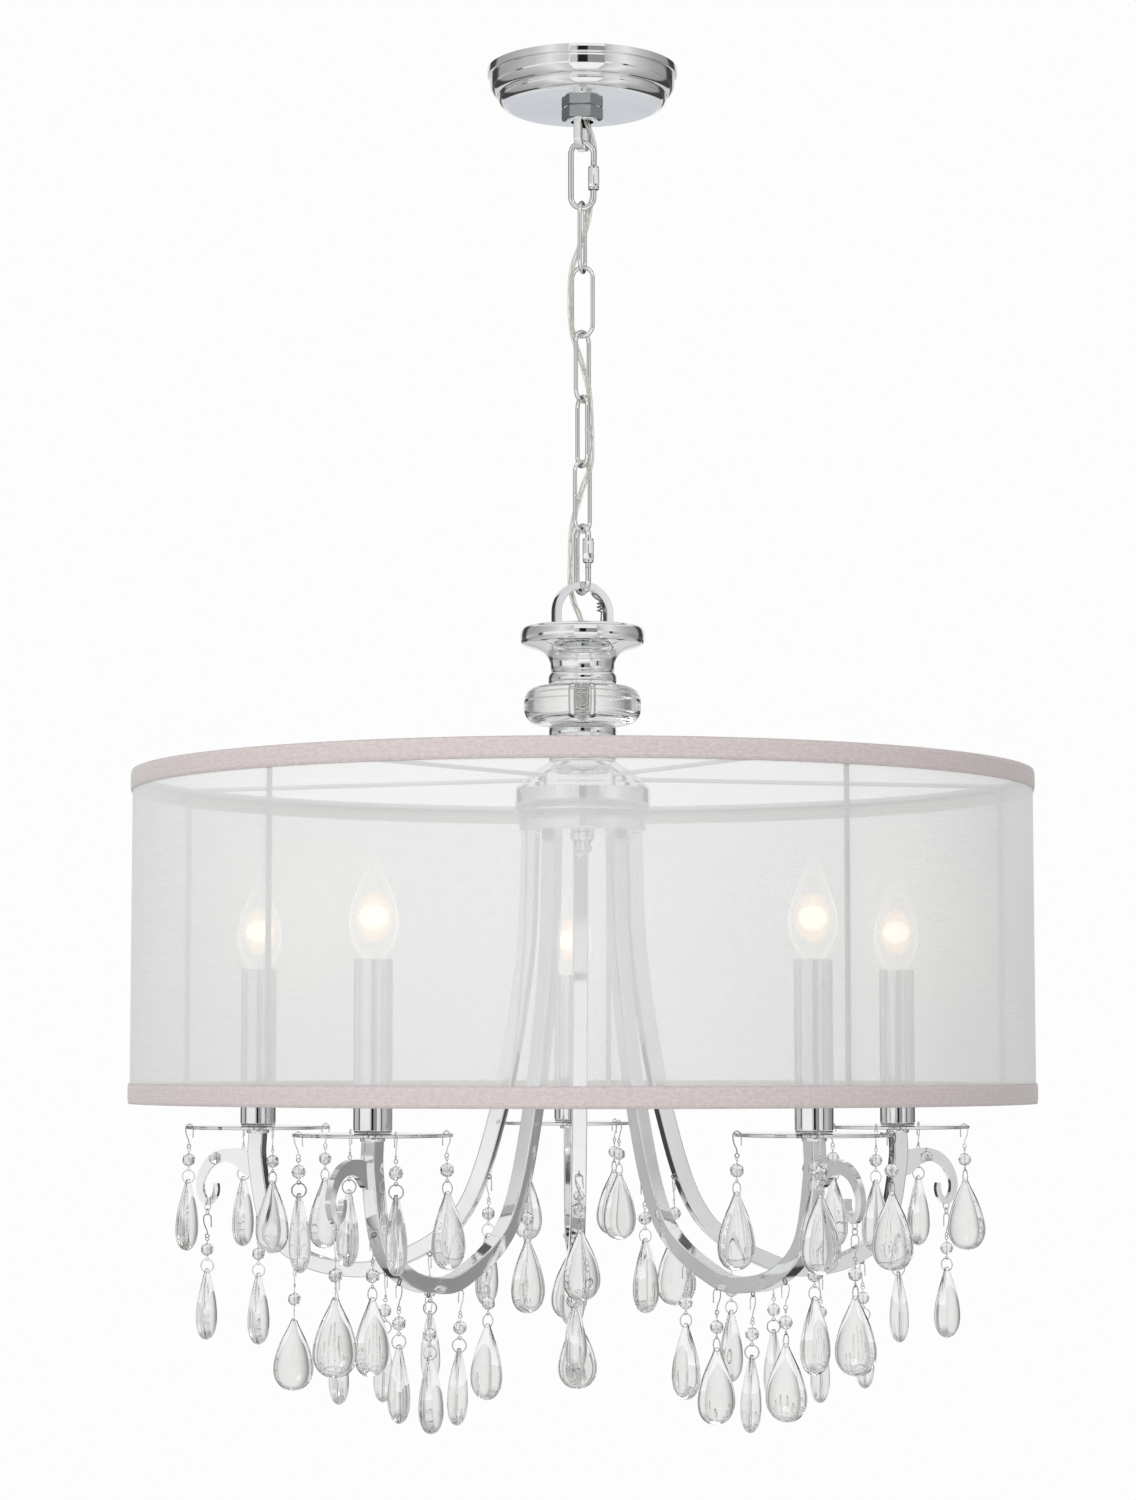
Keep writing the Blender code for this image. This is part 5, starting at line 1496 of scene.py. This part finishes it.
@dataclass
class SupplyCord:
    """The clear cord woven through the chain, in one length for each hinge that it crosses.

    Attributes:
        width: thickness of its round jacket.
        route: points of its middle line.
        spread: a distance above and below a hinge; not used.
        hinges: level of each hinge, with the bodies above and below.
    """

    width: float = 0.0040
    spread: float = 0.016
    route: tuple = (
        (0.0, 0.0, -0.0015), (0.0, 0.0, -0.0160), (0.0003, 0.0, -0.0270),
        (0.0018, 0.0, -0.0340), (0.0044, 0.0004, -0.0420), (0.0073, 0.0030, -0.0500),
        (0.0087, 0.0060, -0.0580), (0.0084, 0.0071, -0.0680), (0.0081, 0.0073, -0.0800),
        (0.0076, 0.0066, -0.0900), (0.0057, 0.0047, -0.0990), (0.0046, 0.0031, -0.1080),
        (0.0018, 0.0010, -0.1190), (-0.0012, -0.0003, -0.1280), (-0.0050, -0.0014, -0.1380),
        (-0.0075, -0.0019, -0.1470), (-0.0085, -0.0020, -0.1580), (-0.0086, -0.0020, -0.1780),
        (-0.0075, -0.0018, -0.1900), (-0.0062, -0.0014, -0.1970), (-0.0024, 0.0, -0.2080),
        (0.0010, 0.0004, -0.2190), (0.0038, 0.0002, -0.2300), (0.0052, 0.0, -0.2390),
        (0.0060, -0.0001, -0.2530), (0.0066, -0.0001, -0.2740), (0.0062, -0.0002, -0.2860),
        (0.0042, 0.0, -0.2940), (0.0003, 0.0003, -0.3040), (-0.0030, 0.0009, -0.3150),
        (-0.0063, 0.0013, -0.3270), (-0.0080, 0.0016, -0.3380), (-0.0084, 0.0022, -0.3520),
        (-0.0086, 0.0038, -0.3660), (-0.0086, 0.0056, -0.3740), (-0.0077, 0.0057, -0.3800),
        (-0.0056, 0.0041, -0.3880), (-0.0025, 0.0014, -0.3955), (-0.0005, 0.0002, -0.4030),
        (0.0, 0.0, -0.4100),
    )
    hinges: tuple = (
        (-0.0585, "ceiling_mount", "quick_link_top"), (-0.1017, "quick_link_top", "chain_link_1"),
        (-0.1482, "chain_link_1", "chain_link_2"), (-0.1952, "chain_link_2", "chain_link_3"),
        (-0.2422, "chain_link_3", "chain_link_4"), (-0.2892, "chain_link_4", "chain_link_5"),
        (-0.3362, "chain_link_5", "quick_link_bottom"), (-0.3802, "quick_link_bottom", "fixture"),
    )

    def build(self) -> None:
        """Make every length of the cord, and the ground wire."""
        line = smooth_path(self.route, 6)
        levels = [hinge[0] for hinge in self.hinges]
        cuts = [(a + b) / 2 for a, b in zip(levels, levels[1:])] + [-1.0]
        start = 0
        for number, (hinge, cut) in enumerate(zip(self.hinges, cuts), 1):
            end = next((k for k, p in enumerate(line) if k > start and p.z <= cut), len(line) - 1)
            self.length(number, line[start:end + 1], hinge)
            start = end
        self.ground_wire()

    def length(self, number: int, path: list[Vector], hinge: tuple[float, str, str]) -> None:
        """One length of the cord: its jacket and the two strands in it."""
        level, above, below = hinge
        jacket = Workpiece().sweep(path, round_section(self.width / 2, 16))
        piece = jacket.finish(f"cord_jacket_{number}", Finish.JACKET, "", ["supply_cord"], "clear_cord", 60)
        strands = Workpiece()
        for side in (-1, 1):
            offset = [(x + side * 0.0009, y) for x, y in round_section(0.00055, 6)]
            strands.sweep(path, offset, twist=150.0)
        core = strands.finish(f"cord_strands_{number}", Finish.CORE, "", ["supply_cord"], "clear_cord", 60)
        for part in (piece, core):
            level + self.spread
            level - self.spread
            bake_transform(part)
        run = sum((b - a).length for a, b in zip(path, path[1:]))

    def ground_wire(self) -> None:
        """The thin wire that leaves the cord, turns in a small coil and drops into the dish."""
        points = [(0.0066, 0.0060, -0.3800), (0.0092, 0.0060, -0.3832)]
        coil = []
        middle, radius, fall, steps = (0.0122, 0.0050, -0.3860), 0.0015, 0.0075, 24
        for step in range(steps + 1):
            turn = 2 * pi * step / 8
            x, y, z = middle
            coil.append((x + radius * cos(turn), y + radius * sin(turn), z - fall * step / steps))
        points += coil
        points += [(0.0134, 0.0040, -0.3975), (0.0134, 0.0036, -0.4045)]
        path = smooth_path(points, 2)
        work = Workpiece().sweep(path, round_section(0.0006, 6))
        piece = work.finish("ground_wire", Finish.PIN, "fixture", (), "clear_cord", 60)
        run = sum((b - a).length for a, b in zip(path, path[1:]))


@dataclass
class Studio:
    """The camera, the pale floor, one soft lamp and the surroundings that metal and glass show.

    Attributes:
        floor_z: level of the floor, a room's height under the ceiling.
        floor_r: radius of the floor.
        lens: the camera's focal length, in millimetres.
        tilt: the camera's turn about X, in degrees.
        stand: where the camera stands.
    """

    floor_z: float = -2.4
    floor_r: float = 4.0
    lens: float = 85.91
    tilt: float = 94.932
    stand: Point = (-0.01027, -2.5295, -0.7108)
    #: What mirrors show above the horizon: azimuth from the front in degrees, grey.
    above: tuple = (
        (-180, 0.84), (-154, 0.74), (-149, 0.06), (-131, 0.06), (-124, 0.36), (-96, 0.44), (-62, 0.60),
        (-40, 0.86), (-24, 0.66), (-16.5, 0.60), (-15.5, 0.97), (27, 0.97), (28, 0.50), (40, 0.74),
        (54, 0.86), (72, 0.60), (96, 0.42), (124, 0.34), (131, 0.06), (149, 0.06), (154, 0.74),
    )
    #: What cloth and paint are lit by: bright in front and behind, dimmer to the sides.
    even: tuple = (
        (-180, 0.95), (-135, 0.52), (-90, 0.14), (-50, 0.66), (-15, 1.0), (20, 0.96), (55, 0.44), (90, 0.0),
        (130, 0.22), (160, 0.85),
    )
    #: What shows through glass, the same in each quarter turn.
    backdrop: tuple = (
        (-180, 0.50), (-150, 0.60), (-110, 0.76), (-50, 0.85), (0, 0.87), (45, 0.82), (85, 0.62), (125, 0.36),
        (150, 0.20), (168, 0.30),
    )
    #: What mirrors show at and just below the horizon.
    below: tuple = (
        (-180, 0.95), (-171, 0.92), (-165, 0.12), (-132, 0.10), (-126, 0.60), (-104, 0.54), (-92, 0.50),
        (-87, 0.12), (-81, 0.10), (-76, 0.88), (-60, 0.93), (0, 0.93), (33, 0.90), (38, 0.74), (50, 0.70),
        (52, 0.05), (56, 0.05), (59, 0.44), (76, 0.56), (92, 0.40), (104, 0.31), (124, 0.30), (130, 0.10),
        (165, 0.12), (171, 0.92),
    )

    def build(self) -> None:
        """Set the whole studio."""
        self.camera()
        self.floor()
        self.lamp()
        self.surroundings()
        bpy.context.scene.view_settings.view_transform = "Standard"

    def camera(self) -> None:
        """The camera at the photograph's place."""
        data = bpy.data.cameras.new("camera")
        data.lens = self.lens
        data.sensor_width = 36.0
        data.clip_end = 60.0
        camera = bpy.data.objects.new("camera", data)
        camera.location = self.stand
        camera.rotation_euler = (radians(self.tilt), 0.0, 0.0)
        bpy.context.collection.objects.link(camera)
        bpy.context.scene.camera = camera

    def floor(self) -> None:
        """A round pale floor that keeps the shadow and runs out to white."""
        work = Workpiece()
        bmesh.ops.create_circle(work.bm, cap_ends=True, segments=96, radius=self.floor_r)
        bmesh.ops.translate(work.bm, verts=work.bm.verts, vec=(0, 0, self.floor_z))
        mesh = work.mesh("floor")
        material, graph = new_material("pale_floor")
        place = graph.coords()
        cloud = graph.noise(place, 3.0, 3.0)
        flat = graph.add("ShaderNodeVectorMath", {"operation": "MULTIPLY"}, {0: place, 1: (1, 1, 0)})
        away = graph.add("ShaderNodeVectorMath", {"operation": "LENGTH"}, {0: flat}, 1)
        base = {
            "Base Color": graph.blend(cloud, (0.90, 0.90, 0.90), (0.87, 0.87, 0.87)),
            "Roughness": cloud.ramp(0.3, 0.7, 0.75, 0.9),
        }
        ground = principled(graph, base)
        path = graph.add("ShaderNodeLightPath")
        mirror = path.other("Is Glossy Ray") * (1.0 - path.other("Is Transmission Ray"))
        seen = path.maths("MAXIMUM", path.other("Is Camera Ray"), path.other("Is Transmission Ray"))
        azimuth = self.azimuth(graph.add("ShaderNodeSeparateXYZ", None, {0: place}))
        ring = graph.blend(away.ramp(0.25, 1.2), (0.40, 0.405, 0.41), self.strip(graph, azimuth, self.above))
        tone = graph.blend(mirror, PAPER, ring)
        glow = graph.add("ShaderNodeEmission", None, {"Color": tone, "Strength": 1.0})
        share = path.maths("MAXIMUM", mirror, seen * away.ramp(0.6, self.floor_r * 0.9, 0.35, 1.0))
        output(graph, graph.add("ShaderNodeMixShader", None, {0: share, 1: ground, 2: glow}))
        mesh.materials.append(material)
        floor = bpy.data.objects.new("floor", mesh)
        bpy.context.collection.objects.link(floor)

    def lamp(self) -> None:
        """One large soft lamp, high at the front left."""
        data = bpy.data.lights.new("softbox", "AREA")
        data.shape = "DISK"
        data.size = 1.6
        data.energy = 26.0
        lamp = bpy.data.objects.new("softbox", data)
        lamp.visible_glossy = False
        lamp.location = (-1.6, -2.6, 0.9)
        aim = Vector((0.0, 0.0, -0.5)) - lamp.location
        lamp.rotation_euler = aim.to_track_quat("-Z", "Y").to_euler()
        bpy.context.collection.objects.link(lamp)

    def azimuth(self, east: Link) -> Link:
        """Degrees round from the front, from the X output of a Separate XYZ node."""
        return east.maths("ARCTAN2", east, east.other(1) * -1.0) * (180.0 / pi)

    def strip(self, graph: Graph, azimuth: Link, panels: tuple) -> Link:
        """Grey by azimuth, from a row of panels."""
        strip = graph.add("ShaderNodeValToRGB", None, {0: azimuth * (1 / 360.0) + 0.5})
        ramp = strip.socket.node.color_ramp
        for index, (degrees, grey) in enumerate(panels):
            spot = (degrees + 180.0) / 360.0
            stop = ramp.elements[index] if index < 2 else ramp.elements.new(spot)
            stop.position = spot
            stop.color = (grey, grey, grey * 0.99, 1.0)
        return strip

    def mirrored(self, graph: Graph, azimuth: Link, height: Link) -> Link:
        """What mirrors show: panels round the horizon, a small black opening in front, white above."""
        round_it = azimuth.maths("ABSOLUTE", azimuth)
        low = height.ramp(-7.5, -6.0) * (1.0 - height.ramp(1.5, 3.0))
        upper, lower = (self.strip(graph, azimuth, panels) for panels in (self.above, self.below))
        shown = graph.blend(low, upper, lower)
        back = round_it.ramp(150.0, 156.0) * height.ramp(-9.0, -12.0)
        shown = graph.blend(back, shown, (0.66, 0.68, 0.71))
        pane = self.within(azimuth, 6.2, 21.3) * self.within(height, 7.5, 11.5)
        greys = graph.blend(azimuth.ramp(-7.0, -6.0), (0.60, 0.60, 0.60), (0.30, 0.30, 0.30))
        shown = graph.blend(pane, shown, greys)
        opening = self.within(azimuth, 0.5, 6.0) * self.within(height, 7.5, 10.5)
        shown = graph.blend(opening, shown, (0.01, 0.01, 0.01))
        shown = graph.blend(height.ramp(24.0, 38.0), shown, (0.88, 0.88, 0.87))
        return graph.blend(self.within(height, 46.0, 3.0), shown, (0.12, 0.12, 0.12))

    def within(self, value: Link, middle: float, reach: float) -> Link:
        """One where a value is nearer to a middle than a reach, else nought."""
        return 1.0 - value.maths("ABSOLUTE", value - middle).ramp(reach - 0.3, reach + 0.3)

    def refracted(self, graph: Graph, azimuth: Link, height: Link) -> Link:
        """What clear glass shows: a pale backdrop with soft dark edges, the same from every side."""
        fold = azimuth.maths("FLOORED_MODULO", azimuth + 45.0, 90.0) - 45.0
        slope = height.maths("ABSOLUTE", height)
        shown = self.strip(graph, fold * 4.0, self.backdrop)
        return graph.blend(slope.ramp(16.0, 52.0), shown, (0.42, 0.42, 0.415))

    def surroundings(self) -> None:
        """White to the camera, even light for cloth and paint, panels and dark strips for metal and glass."""
        world = bpy.data.worlds.new("studio")
        bpy.context.scene.world = world
        world.use_nodes = True
        graph = Graph(world.node_tree)
        way = graph.add("ShaderNodeTexCoord", out="Generated")
        x = graph.add("ShaderNodeSeparateXYZ", None, {0: way})
        azimuth = self.azimuth(x)
        height = x.maths("ARCSINE", x.other(2)) * (180.0 / pi)
        around = self.strip(graph, azimuth, self.even)
        soft = graph.blend(around, (0.36, 0.365, 0.37), (1.22, 1.225, 1.23))
        path = graph.add("ShaderNodeLightPath")
        tone = graph.blend(path.other("Is Glossy Ray"), soft, self.mirrored(graph, azimuth, height))
        tone = graph.blend(path.other("Is Transmission Ray"), tone, self.refracted(graph, azimuth, height))
        tone = graph.blend(path.other("Is Camera Ray"), tone, PAPER)
        back = graph.add("ShaderNodeBackground", None, {"Color": tone, "Strength": 1.0})
        graph.add("ShaderNodeOutputWorld", None, {"Surface": back})


def main() -> None:
    """Build the studio and the chandelier, from the ceiling down."""
    logging.basicConfig(level=logging.INFO, format="%(name)s %(message)s")
    Studio().build()
    SupplyCord().build()
    CeilingMount().build()
    Chain().build()
    Stack().build()
    Shade().build()
    drop = Drop()
    for number in range(1, ARMS + 1):
        Arm(number, drop).build()


if __name__ == "__main__":
    main()
